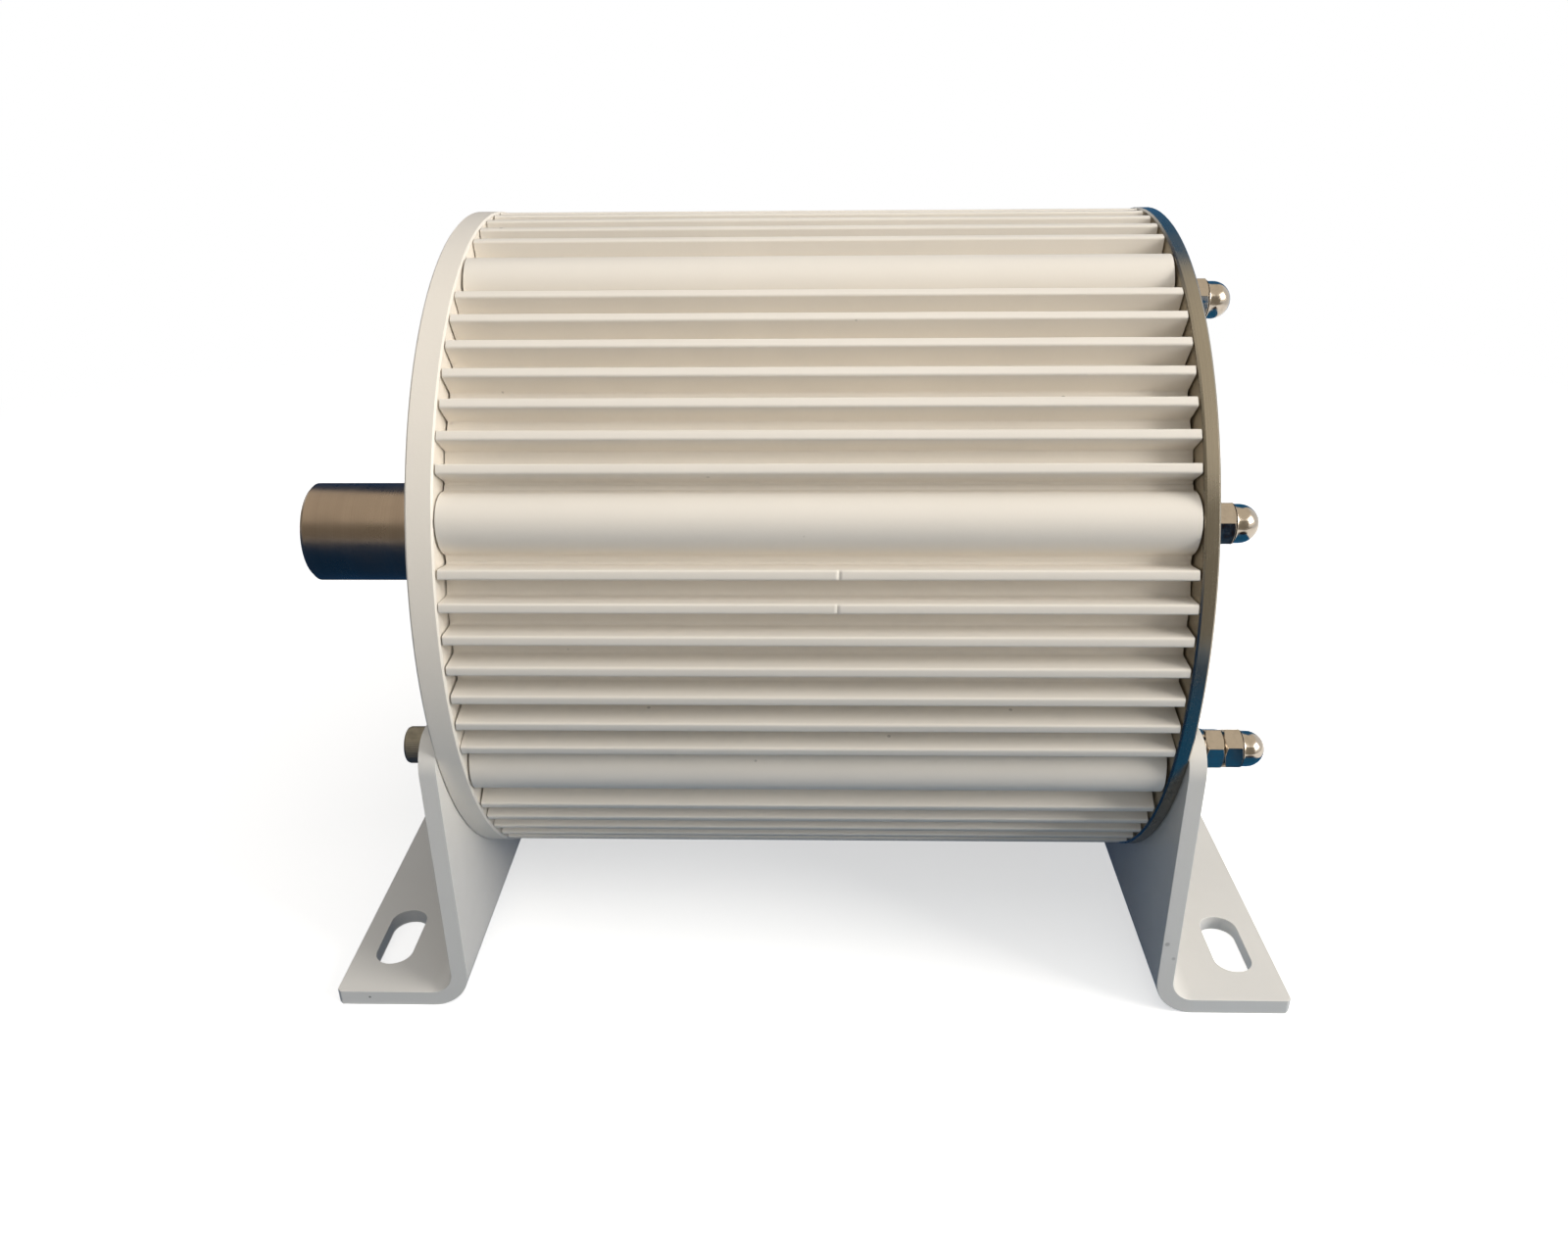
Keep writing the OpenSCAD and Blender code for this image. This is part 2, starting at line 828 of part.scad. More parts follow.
// A hexagon with a domed cap and a blind thread hole
module acorn(turn) {
    hex_h = acorn_h - dome_d / 2 - dome_neck_l;
    difference() {
        union() {
            intersection() {
                linear_extrude(height = hex_h)
                    hexagon(nut_af, turn);
                corner_cone(hex_h);
            }
            cylinder(d = dome_d, h = acorn_h - dome_d / 2);
            intersection() {
                translate([0, 0, acorn_h - dome_d / 2])
                    sphere(d = dome_d, $fn = 48);
                cylinder(d = dome_d + cut, h = acorn_h + cut);
            }
        }
        translate([0, 0, -cut])
            cylinder(d = bolt_d, h = thread_in_dome + 1 + cut);
    }
}

// One slot of the stator core, centred on the direction a
module core_slot(a) {
    shoulder_w = slot_shoulder_r * half_slot - flank_offset;
    bottom_w = slot_bottom_r * half_slot - flank_offset;
    rotate(a)
        polygon([
            [stator_bore_r - cut, -slot_mouth / 2], [slot_neck_r, -slot_mouth / 2],
            [slot_shoulder_r, -shoulder_w], [slot_bottom_r, -bottom_w],
            [slot_bottom_r, bottom_w], [slot_shoulder_r, shoulder_w],
            [slot_neck_r, slot_mouth / 2], [stator_bore_r - cut, slot_mouth / 2]
        ]);
}

module stator_core() {
    color([0.35, 0.36, 0.40])
        span(core_front, core_rear)
            difference() {
                circle(r = core_r);
                circle(r = stator_bore_r);
                intersection() {
                    circle(r = slot_bottom_r);
                    union()
                        for (i = [0:tooth_count - 1])
                            core_slot((i + 0.5) * tooth_pitch);
                }
            }
}

// A rounded rectangle made of squares and circles
module rounded_rect(half_w, half_l, r) {
    square([2 * half_w, 2 * (half_l - r)], center = true);
    square([2 * (half_w - r), 2 * half_l], center = true);
    for (x = [-1, 1], y = [-1, 1])
        translate([x * (half_w - r), y * (half_l - r)])
            circle(r = r, $fn = 48);
}

// Extrudes a drawing outwards along the tooth at angle a, between two radii
module along_tooth(a, r0, r1) {
    translate([0, 0, axis_h])
        rotate([0, -a, 0])
            translate([r0, 0, 0])
                rotate([90, 0, 90])
                    linear_extrude(height = r1 - r0)
                        rotate(90)
                            children();
}

// The slot room on both sides of the tooth at angle a, up to the middle of each slot
module tooth_room(a, gap, y_half) {
    near_r = stator_bore_r;
    far_r = slot_bottom_r + 2;
    near_w = near_r * half_slot - gap;
    far_w = far_r * half_slot - gap;
    span(-y_half, y_half)
        rotate(a)
            polygon([[near_r, -near_w], [far_r, -far_w], [far_r, far_w], [near_r, near_w]]);
}

module tooth_insulators() {
    wall_end = sqrt(pow(slot_bottom_r, 2) - pow(liner_half_w, 2)) - 0.2;
    color([0.85, 0.84, 0.76])
        for (i = [0:tooth_count - 1]) {
            a = i * tooth_pitch;
            difference() {
                union() {
                    along_tooth(a, collar_in_r, wall_end)
                        square([2 * liner_half_w, 2 * liner_half_l], center = true);
                    insulator_collar(a, collar_in_r);
                    insulator_collar(a, collar_out_r - liner_t);
                }
                along_tooth(a, collar_in_r - cut, slot_bottom_r + cut)
                    square([tooth_w + 2 * fit_gap, core_l + 2 * fit_gap], center = true);
            }
        }
}

module insulator_collar(a, r0) {
    intersection() {
        along_tooth(a, r0, r0 + liner_t)
            rounded_rect(slot_bottom_r * half_slot, coil_half_l, coil_corner_r);
        tooth_room(a, coil_side_gap, coil_half_l + cut);
    }
}

// Three neighbouring teeth and the three opposite them carry one phase
module phase_coils(first) {
    for (i = [0:2], half = [0, tooth_count / 2])
        coil((first + i + half) * tooth_pitch);
}

module coil(a) {
    intersection() {
        difference() {
            along_tooth(a, coil_in_r, coil_out_r)
                rounded_rect(slot_bottom_r * half_slot, coil_half_l, coil_corner_r);
            along_tooth(a, coil_in_r - cut, coil_out_r + cut)
                square([2 * coil_hole_half_w, 2 * coil_hole_half_l], center = true);
        }
        tooth_room(a, coil_side_gap, coil_half_l + cut);
    }
}

module winding_phase_u() {
    color([0.72, 0.40, 0.20])
        phase_coils(0);
}

module winding_phase_v() {
    color([0.76, 0.44, 0.22])
        phase_coils(3);
}

module winding_phase_w() {
    color([0.68, 0.36, 0.18])
        phase_coils(6);
}

module shaft() {
    tip = front_face - shaft_out_l;
    seat_r = front_bore_d / 2 - fit_gap;
    rear_seat_r = rear_bore_d / 2 - fit_gap;
    collar_front = front_brg_rear + collar_inset;
    core_seat_r = rotor_seat_r - fit_gap;
    clip_end = rotor_rear + rotor_clip_t;
    seat_end = clip_end + rear_seat_inset;
    shaft_end = rear_brg_rear + rear_stub_l;
    groove_r = rotor_seat_r - rotor_groove_t;
    front_shoulder_r = seat_r + bearing_shoulder;
    rear_shoulder_r = rear_seat_r + bearing_shoulder;
    cone_r = centre_d / 2 + (centre_cone_l + cut) * tan(30);
    color(steel)
        difference() {
            turned([
                [0, tip], [shaft_d / 2 - shaft_chamfer, tip], [shaft_d / 2, tip + shaft_chamfer],
                [shaft_d / 2, front_face - shoulder_l], [seal_seat_d / 2, front_face - shoulder_l],
                [seal_seat_d / 2, front_brg_front], [seat_r, front_brg_front],
                [seat_r, front_brg_rear], [front_shoulder_r, front_brg_rear],
                [front_shoulder_r, collar_front], [collar_d / 2, collar_front],
                [collar_d / 2, rotor_front], [core_seat_r, rotor_front],
                [core_seat_r, rotor_rear], [groove_r, rotor_rear],
                [groove_r, clip_end], [core_seat_r, clip_end],
                [core_seat_r, seat_end], [rear_shoulder_r, seat_end],
                [rear_shoulder_r, rear_brg_front], [rear_seat_r, rear_brg_front],
                [rear_seat_r, shaft_end - shaft_chamfer], [rear_seat_r - shaft_chamfer, shaft_end],
                [0, shaft_end]
            ]);
            keyway_cut(tip + keyway_inset);
            rotor_key_room(0);
            turned([
                [0, tip - cut], [cone_r, tip - cut],
                [centre_d / 2, tip + centre_cone_l], [0, tip + centre_cone_l]
            ]);
            ring(centre_d / 2, 0, tip, tip + centre_drill_l);
        }
}

// The groove with round ends for the drive key
module keyway_cut(y0) {
    half_l = (keyway_l - keyway_w) / 2;
    translate([0, y0 + keyway_l / 2, axis_h])
        rotate([0, -keyway_angle, 0])
            translate([shaft_d / 2 - keyway_t, 0, 0])
                rotate([90, 0, 90])
                    linear_extrude(height = keyway_t + cut) {
                        square([2 * half_l, keyway_w], center = true);
                        for (s = [-1, 1])
                            translate([s * half_l, 0])
                                circle(d = keyway_w);
                    }
}

// The rotor key lies partly in the shaft and partly in the rotor core
module rotor_key_room(gap) {
    size = [rotor_key_w, rotor_key_l, rotor_key_h] - 2 * gap * [1, 1, 1];
    low = axis_h + rotor_seat_r - rotor_key_depth + gap;
    translate([-size[0] / 2, -size[1] / 2, low])
        cube(size);
}

module rotor_key() {
    color(steel)
        rotor_key_room(fit_gap);
}

module rotor_core() {
    rib_w = (pole_pitch - magnet_arc) * PI / 180 * magnet_in_r - 2 * magnet_side_gap;
    rib_r = magnet_in_r + magnet_rib_rise;
    color([0.42, 0.43, 0.46])
        difference() {
            span(core_front, core_rear)
                difference() {
                    union() {
                        circle(r = rotor_core_r);
                        for (i = [0:pole_count - 1])
                            rotate((i + 0.5) * pole_pitch)
                                translate([rotor_core_r - cut, -rib_w / 2])
                                    square([rib_r - rotor_core_r + cut, rib_w]);
                    }
                    circle(r = rotor_seat_r);
                    for (i = [0:light_hole_count - 1])
                        rotate((i + 0.5) * 360 / light_hole_count)
                            translate([light_hole_r, 0])
                                circle(d = light_hole_d);
                }
            translate([-rotor_key_w / 2, core_front - cut, axis_h])
                cube([rotor_key_w, core_l + 2 * cut, rotor_seat_r + rotor_key_h - rotor_key_depth]);
        }
}

// Every second magnet, beginning with the one numbered first
module magnet_set(first) {
    for (i = [first:2:pole_count - 1])
        span(core_front + magnet_end_gap, core_rear - magnet_end_gap)
            rotate(i * pole_pitch)
                intersection() {
                    difference() {
                        circle(r = magnet_out_r);
                        circle(r = magnet_in_r);
                    }
                    wedge(magnet_out_r, -magnet_arc / 2, magnet_arc / 2);
                }
}

module magnets_north() {
    color([0.55, 0.56, 0.60])
        magnet_set(0);
}

module magnets_south() {
    color([0.48, 0.49, 0.54])
        magnet_set(1);
}

module magnet_sleeve() {
    color([0.20, 0.20, 0.22])
        ring(sleeve_r, sleeve_r - sleeve_t, core_front, core_rear);
}

module rotor_end_plates() {
    color([0.66, 0.67, 0.70]) {
        ring(sleeve_r, rotor_seat_r, rotor_front, core_front);
        ring(sleeve_r, rotor_seat_r, core_rear, rotor_rear);
    }
}

// A spring ring with open ends, between the radii r0 and r1
module open_ring(r0, r1, y0, y1, gap_angle) {
    span(y0, y1)
        difference() {
            circle(r = r1);
            circle(r = r0);
            wedge(r1, -gap_angle / 2, gap_angle / 2);
        }
}

module rotor_circlip() {
    grip = rotor_groove_t - 0.1;
    rim_w = 3.5;
    gap_angle = 20;
    color([0.25, 0.25, 0.27])
        open_ring(rotor_seat_r - grip, rotor_seat_r + rim_w,
            rotor_rear + fit_gap, rotor_rear + rotor_clip_t - fit_gap, gap_angle);
}

// The seal's rubber body: a dust lip at the front, and a sealing lip that runs just
// clear of the shaft and hangs from a thin wall behind the face
module shaft_seal() {
    lip_r = seal_seat_d / 2 + lip_gap;
    wall = 2;
    edge = 0.5;
    y0 = front_face + 0.2;
    y1 = front_face + seal_w - fit_gap;
    face_end = y0 + wall + 0.6;
    color([0.12, 0.12, 0.13])
        turned([
            [seal_od / 2, y0 + edge], [seal_od / 2 - edge, y0],
            [lip_r + 3.5, y0], [lip_r + edge, y0 + edge], [lip_r, y0 + 2 * edge],
            [lip_r + 2.6, y0 + wall], [lip_r, y0 + 2 * wall],
            [lip_r + 0.6, y1 - 1.5], [lip_r + 1, y1 - 1.2], [lip_r + 2.2, y1 - 1.8],
            [lip_r + 2.6, y1 - 3], [lip_r + 3.2, face_end + 0.6],
            [seal_od / 2 - wall, face_end], [seal_od / 2 - wall, y1], [seal_od / 2, y1]
        ]);
}

module seal_garter_spring() {
    wire_r = 0.6;
    lip_t = 3.3;
    coil_r = seal_seat_d / 2 + lip_gap + lip_t;
    inset = 2.5;
    color(bright_steel)
        translate([0, front_face + seal_w - inset, axis_h])
            rotate([90, 0, 0])
                rotate_extrude()
                    translate([coil_r, 0])
                        circle(r = wire_r, $fn = 24);
}

// A bearing ring between its outer or inner face and its land, with the ball groove cut in
module bearing_ring(face_r, land_r, mid_r, ball_d, y0, y1) {
    mid = (y0 + y1) / 2;
    difference() {
        ring(max(face_r, land_r), min(face_r, land_r), y0, y1);
        translate([0, mid, axis_h])
            rotate([90, 0, 0])
                rotate_extrude()
                    translate([mid_r, 0])
                        circle(d = ball_d + 2 * run_gap, $fn = 64);
    }
}

module bearing_outer(bore_d, od, ball_d, y0, y1) {
    mid_r = (bore_d + od) / 4;
    land_r = mid_r + ball_d * land_share;
    shield_seat = shield_inset + shield_t + 0.1;
    difference() {
        bearing_ring(od / 2, land_r, mid_r, ball_d, y0, y1);
        ring(land_r + shield_lip, 0, y0 - cut, y0 + shield_seat);
        ring(land_r + shield_lip, 0, y1 - shield_seat, y1 + cut);
    }
}

module bearing_inner(bore_d, od, ball_d, y0, y1) {
    mid_r = (bore_d + od) / 4;
    bearing_ring(bore_d / 2, mid_r - ball_d * land_share, mid_r, ball_d, y0, y1);
}

module ball_set(bore_d, od, ball_d, y0, y1) {
    for (i = [0:ball_count - 1])
        translate([0, (y0 + y1) / 2, axis_h])
            rotate([0, i * 360 / ball_count, 0])
                translate([(bore_d + od) / 4, 0, 0])
                    sphere(d = ball_d, $fn = 32);
}

// A one-piece cage with a round pocket for each ball
module cage(bore_d, od, ball_d, y0, y1) {
    mid_r = (bore_d + od) / 4;
    mid = (y0 + y1) / 2;
    half_w = ball_d / 2 + cage_wall;
    half_t = ball_d * cage_share;
    difference() {
        ring(mid_r + half_t, mid_r - half_t, mid - half_w, mid + half_w);
        for (i = [0:ball_count - 1])
            translate([0, mid, axis_h])
                rotate([0, 90 + i * 360 / ball_count, 0])
                    translate([0, 0, mid_r - ball_d / 2])
                        cylinder(d = ball_d + pocket_gap, h = ball_d);
    }
}

module bearing_shields(bore_d, od, ball_d, y0, y1) {
    mid_r = (bore_d + od) / 4;
    out_r = mid_r + ball_d * land_share + shield_lip - fit_gap;
    in_r = mid_r - ball_d * land_share + shield_gap;
    for (y = [y0 + shield_inset, y1 - shield_inset - shield_t])
        ring(out_r, in_r, y, y + shield_t);
}

module front_bearing_outer_ring() {
    color(bright_steel)
        bearing_outer(front_bore_d, front_od, front_ball_d, front_brg_front, front_brg_rear);
}

module front_bearing_inner_ring() {
    color(bright_steel)
        bearing_inner(front_bore_d, front_od, front_ball_d, front_brg_front, front_brg_rear);
}

module front_bearing_balls() {
    color("silver")
        ball_set(front_bore_d, front_od, front_ball_d, front_brg_front, front_brg_rear);
}

module front_bearing_cage() {
    color([0.70, 0.58, 0.32])
        cage(front_bore_d, front_od, front_ball_d, front_brg_front, front_brg_rear);
}

module front_bearing_shields() {
    color(steel)
        bearing_shields(front_bore_d, front_od, front_ball_d, front_brg_front, front_brg_rear);
}

module front_bearing_circlip() {
    rim_w = 4;
    gap_angle = 24;
    color([0.25, 0.25, 0.27])
        open_ring(front_od / 2 - rim_w, front_od / 2 + circlip_groove_t - 0.1,
            front_brg_rear + fit_gap, front_brg_rear + circlip_t, gap_angle);
}

module rear_bearing_outer_ring() {
    color(bright_steel)
        bearing_outer(rear_bore_d, rear_od, rear_ball_d, rear_brg_front, rear_brg_rear);
}

module rear_bearing_inner_ring() {
    color(bright_steel)
        bearing_inner(rear_bore_d, rear_od, rear_ball_d, rear_brg_front, rear_brg_rear);
}

module rear_bearing_balls() {
    color("silver")
        ball_set(rear_bore_d, rear_od, rear_ball_d, rear_brg_front, rear_brg_rear);
}

module rear_bearing_cage() {
    color([0.70, 0.58, 0.32])
        cage(rear_bore_d, rear_od, rear_ball_d, rear_brg_front, rear_brg_rear);
}

module rear_bearing_shields() {
    color(steel)
        bearing_shields(rear_bore_d, rear_od, rear_ball_d, rear_brg_front, rear_brg_rear);
}

// A thin ring whose height follows a cosine of three waves a turn
module rear_wave_spring() {
    steps = 72;
    waves = 3;
    strip_t = 0.7;
    strip_w = 4.4;
    swing = (wave_spring_h - strip_t) / 2 - fit_gap;
    mid_y = rear_brg_rear + wave_spring_h / 2;
    r_out = rear_od / 2 - 2 * run_gap;
    r_in = r_out - strip_w;
    points = [
        for (i = [0:steps - 1])
            let (a = i * 360 / steps, y = mid_y + swing * cos(waves * a))
            for (c = [[r_in, -1], [r_out, -1], [r_out, 1], [r_in, 1]])
                [c[0] * cos(a), y + c[1] * strip_t / 2, axis_h + c[0] * sin(a)]
    ];
    faces = [
        for (i = [0:steps - 1], j = [0:3])
            let (n = (i + 1) % steps, k = (j + 1) % 4)
            [4 * n + j, 4 * n + k, 4 * i + k, 4 * i + j]
    ];
    color([0.50, 0.50, 0.52])
        polyhedron(points = points, faces = faces);
}

// A round disc along Y at the place of the cable gland
module gland_disc(r, y0, y1) {
    translate([gland_x, y1, gland_z])
        rotate([90, 0, 0])
            cylinder(r = r, h = y1 - y0);
}

module gland_hex(af, y0, y1) {
    translate([gland_x, y1, gland_z])
        rotate([90, 0, 0])
            linear_extrude(height = y1 - y0)
                hexagon(af);
}

module gland_body() {
    inside = housing_rear - gland_lock_t - gland_thread_spare;
    color([0.10, 0.10, 0.11])
        difference() {
            union() {
                gland_disc(gland_thread_d / 2, inside, gland_flange_y + weld);
                gland_hex(gland_af, gland_flange_y, gland_flange_end);
                gland_disc(gland_neck_r, gland_flange_end - weld, gland_claw_end);
            }
            gland_disc(gland_passage_r, inside - cut, gland_claw_end + cut);
            gland_disc(gland_seal_r + fit_gap, gland_flange_end, gland_claw_end + cut);
        }
}

module gland_washer() {
    color([0.05, 0.05, 0.05])
        difference() {
            gland_disc(gland_af / 2 - weld, rear_face, rear_face + gland_washer_t);
            gland_disc(gland_thread_d / 2 + lip_gap, rear_face - cut, rear_face + gland_washer_t + cut);
        }
}

module gland_lock_nut() {
    color([0.12, 0.12, 0.13])
        difference() {
            gland_hex(gland_af, housing_rear - gland_lock_t, housing_rear);
            gland_disc(gland_thread_d / 2 + fit_gap, housing_rear - gland_lock_t - cut, housing_rear + cut);
        }
}

// The rubber sleeve that grips the cable, between the body and the dome nut
module gland_seal() {
    y0 = gland_flange_end + fit_gap;
    y1 = gland_nut_end - gland_nose_t - fit_gap;
    color([0.18, 0.18, 0.19])
        difference() {
            gland_disc(gland_seal_r, y0, y1);
            gland_disc(cable_d / 2, y0 - cut, y1 + cut);
        }
}

module gland_dome_nut() {
    hex_end = gland_nut_y + gland_nut_l * 0.6;
    nose_wall = 3;
    color([0.10, 0.10, 0.11])
        difference() {
            union() {
                gland_hex(gland_af, gland_nut_y, hex_end);
                translate([gland_x, gland_nut_end, gland_z])
                    rotate([90, 0, 0])
                        cylinder(r1 = cable_d / 2 + nose_wall, r2 = gland_af / 2 - weld,
                            h = gland_nut_end - hex_end + weld);
            }
            gland_disc(gland_neck_r + fit_gap, gland_nut_y - cut, gland_claw_end + fit_gap);
            gland_disc(gland_seal_r + fit_gap, gland_nut_y - cut, gland_nut_end - gland_nose_t);
            gland_disc(gland_passage_r, gland_nut_y - cut, gland_nut_end + cut);
        }
}

housing();
front_cover();
rear_cover();
front_foot();
rear_foot();
front_cover_oring();
rear_cover_oring();
foot_bolts();
cover_screws();
flat_washers();
spring_washers();
hex_nuts();
acorn_nuts();
stator_core();
tooth_insulators();
winding_phase_u();
winding_phase_v();
winding_phase_w();
shaft();
rotor_key();
rotor_core();
magnets_north();
magnets_south();
magnet_sleeve();
rotor_end_plates();
rotor_circlip();
shaft_seal();
seal_garter_spring();
front_bearing_outer_ring();
front_bearing_inner_ring();
front_bearing_balls();
front_bearing_cage();
front_bearing_shields();
front_bearing_circlip();
rear_bearing_outer_ring();
rear_bearing_inner_ring();
rear_bearing_balls();
rear_bearing_cage();
rear_bearing_shields();
rear_wave_spring();
gland_body();
gland_dome_nut();
gland_seal();
gland_washer();
gland_lock_nut();
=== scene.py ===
"""Finishes the permanent magnet generator: its painted finned housing, its feet, its bare
metal parts and its fasteners, with a plain studio round them."""

import math

import bmesh
import bpy
import numpy as np
from bpy.props import FloatProperty, FloatVectorProperty, IntProperty, PointerProperty
from mathutils import Matrix, Vector
from mathutils.geometry import tessellate_polygon


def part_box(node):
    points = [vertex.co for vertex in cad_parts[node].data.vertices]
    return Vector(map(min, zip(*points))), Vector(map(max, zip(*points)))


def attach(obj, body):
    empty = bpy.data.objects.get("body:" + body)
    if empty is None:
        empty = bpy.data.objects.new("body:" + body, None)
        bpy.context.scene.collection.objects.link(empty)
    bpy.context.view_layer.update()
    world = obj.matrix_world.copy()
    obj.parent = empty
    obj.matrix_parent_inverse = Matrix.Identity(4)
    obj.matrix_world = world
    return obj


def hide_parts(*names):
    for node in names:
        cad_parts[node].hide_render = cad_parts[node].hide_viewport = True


bl_info = {
    "name": "Permanent Magnet Generator Finish",
    "version": (1, 0, 0),
    "blender": (4, 5, 0),
    "location": "View3D > Sidebar > Generator",
    "description": "Surfaces, fasteners and studio for a finned permanent magnet generator",
    "category": "Object",
}

MM = 0.001
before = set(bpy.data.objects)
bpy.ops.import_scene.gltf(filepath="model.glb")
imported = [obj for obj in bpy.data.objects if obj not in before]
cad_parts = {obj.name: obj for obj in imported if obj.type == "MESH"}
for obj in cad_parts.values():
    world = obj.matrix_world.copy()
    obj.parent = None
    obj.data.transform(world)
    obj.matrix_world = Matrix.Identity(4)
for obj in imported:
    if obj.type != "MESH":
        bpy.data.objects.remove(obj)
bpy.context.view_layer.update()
HOUSING_LOW, HOUSING_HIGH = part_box("housing")
AXIS_Z = (HOUSING_LOW.z + HOUSING_HIGH.z) / 2  # height of the shaft axis over the floor

BOSSES = 8
BOSS_PITCH = 2 * math.pi / BOSSES
FIRST_BOSS = BOSS_PITCH / 2  # angle from the +X side, as all angles round the axis
BORE_STEPS = 160
HOLE_STRIDE = 4  # steps of the bore to one of a bolt hole
DENT_RINGS = 4  # rings of points to each side of a dent, half its width apart
NUT_CONE = math.radians(30)
HEAD_TURN = math.radians(45)

# The two dents in fin edges: which fin under the first boss, where along the shaft, in
# millimetres, and how deep as a share of the deepest.
DENTS = ((0, 9.4, 1.0), (1, 8.8, 0.8))
# The three marks in the coat on the feet's near edges: y, z and radius in millimetres,
# and how dark the coat is there.
FOOT_MARKS = ((-163.8, 3.5, 0.55, 0.85), (127.6, 31.6, 1.1, 0.4), (130.6, 25.1, 0.9, 0.3))

VIEW_REACH = 60  # metres
FLOOR_GREY = 0.80
FLOOR_GLOW = 0.60
NEAR_BOUNCE = (0.19, 0.27, 0.37)  # what the floor throws back by the machine
FAR_BOUNCE = (0.50, 0.46, 0.40)
SKY = (1.0, 0.985, 0.96)
DARK_BELOW, BRIGHT_ABOVE = -0.45, 0.55  # places along the bright direction
WINDOW_LIGHT = (1.0, 0.96, 0.90)
CEILING_LIGHT = (1.0, 0.98, 0.95)
# Glows of cards that only mirror-like rays see: painted reflections of dim walls and far floor,
# a bright window, a tan ceiling, and a near-black patch by the machine.
DIM_ROOM_REFLECTION = (0.35, 0.315, 0.255)
WINDOW_REFLECTION = (1.5, 1.42, 1.3)
CEILING_REFLECTION = (0.95, 0.86, 0.72)
DARK_REFLECTION = (0.02, 0.011, 0.008)


def number_setting(name, value, description, unit="NONE"):
    """A number for the panel, with its unit."""
    return FloatProperty(name=name, description=description, default=value, unit=unit)


def in_mm(name, millimetres, description):
    """A length for the panel, given in millimetres."""
    return number_setting(name, millimetres * MM, description, "LENGTH")


def in_radians(name, radians, description):
    """An angle for the panel."""
    return FloatProperty(name=name, description=description, default=radians, subtype="ANGLE")


def count_setting(name, number, least, description):
    """A whole number for the panel, with the least that it may be."""
    return IntProperty(name=name, description=description, default=number, min=least)


def colour_setting(name, value, description):
    """A colour for the panel."""
    return FloatVectorProperty(
        name=name, description=description, default=value, subtype="COLOR", size=3, min=0, max=1)


class HousingSettings(bpy.types.PropertyGroup):
    """Sizes of the housing, of its fins and bosses, and of the covers' rims."""

    bore_radius: in_mm("Bore radius", 100, "Radius of the bore that holds the stator")
    valley_radius: in_mm("Valley radius", 114.6, "Radius of the floor between the fins")
    fin_height: in_mm("Fin height", 10, "Height of the fins over the valley floor")
    fin_tip_width: in_mm("Fin tip width", 3.4, "Width of a fin at its tip")
    fin_root_width: in_mm("Fin root width", 4, "Width of a fin at its root")
    fin_fillet: in_mm("Fin fillet", 1, "Radius of the fillet at the foot of a fin")
    fin_corner: in_mm("Fin tip rounding", 0.8, "Radius of the edges at a fin's tip")
    fins_per_gap: count_setting("Fins between bosses", 7, 1, "Number of fins between two bosses")
    boss_radius: in_mm("Boss radius", 10, "Radius of the round back of a boss")
    boss_rise: in_mm("Boss rise", 0.3, "Height of a boss over the tips of the fins")
    boss_fillet: in_mm("Boss fillet", 1.5, "Radius of the fillet at the foot of a boss")
    boss_gap: in_mm("Floor beside a boss", 0.8, "Width of the flat floor beside a boss")
    bolt_circle: in_mm("Bolt circle", 108.8, "Radius on which bolt holes and fasteners sit")
    hole_radius: in_mm("Bolt hole radius", 4.5, "Radius of a bolt hole")
    end_gap: in_mm("Open joint", 0.3, "Gap between the housing and each cover")
    cut_wander: in_mm("Wander of the cuts", 0.6, "How far the sawn fin ends wander")
    rim_chamfer: in_mm("Rim chamfer", 0.6, "Chamfer at both edges of a cover's rim")
    dent_depth: in_mm("Dent depth", 0.45, "Depth of the deepest dent in a fin's edge")
    dent_width: in_mm("Dent width", 1.7, "Width of a dent along the fin")


class FastenerSettings(bpy.types.PropertyGroup):
    """Sizes of the screws, nuts and washers."""

    thread_radius: in_mm("Thread radius", 4, "Outer radius of the threads")
    nut_flats: in_mm("Nut across flats", 13, "Width of a nut between two flats")
    dome_radius: in_mm("Dome radius", 6.25, "Radius of the dome of a domed nut")
    dome_neck: in_mm("Dome neck", 2.25, "Height of the round neck under the dome")
    acorn_height: in_mm("Domed nut height", 15, "Height of a whole domed nut")
    head_radius: in_mm("Socket head radius", 6.5, "Radius of a socket head")
    head_height: in_mm("Socket head height", 8, "Height of a socket head")
    socket_flats: in_mm("Socket across flats", 6, "Width of the hexagon in a socket head")
    knurl_count: count_setting("Knurl ridges", 56, 12, "Number of ridges round a socket head")
    knurl_depth: in_mm("Knurl depth", 0.22, "Depth of the grooves between the ridges")
    washer_radius: in_mm("Washer radius", 8, "Outer radius of a flat washer")
    hole_radius: in_mm("Washer hole radius", 4.2, "Radius of the hole in a flat washer")
    nut_turn: in_radians("Nut turn", math.radians(32), "Turn of the hexagon nuts")
    foot_dome_turn: in_radians(
        "Foot dome turn", math.radians(29), "Turn of the domed nuts behind the rear foot")
    cover_dome_turn: in_radians(
        "Cover dome turn", math.radians(39), "Turn of the domed nuts on the rear cover")


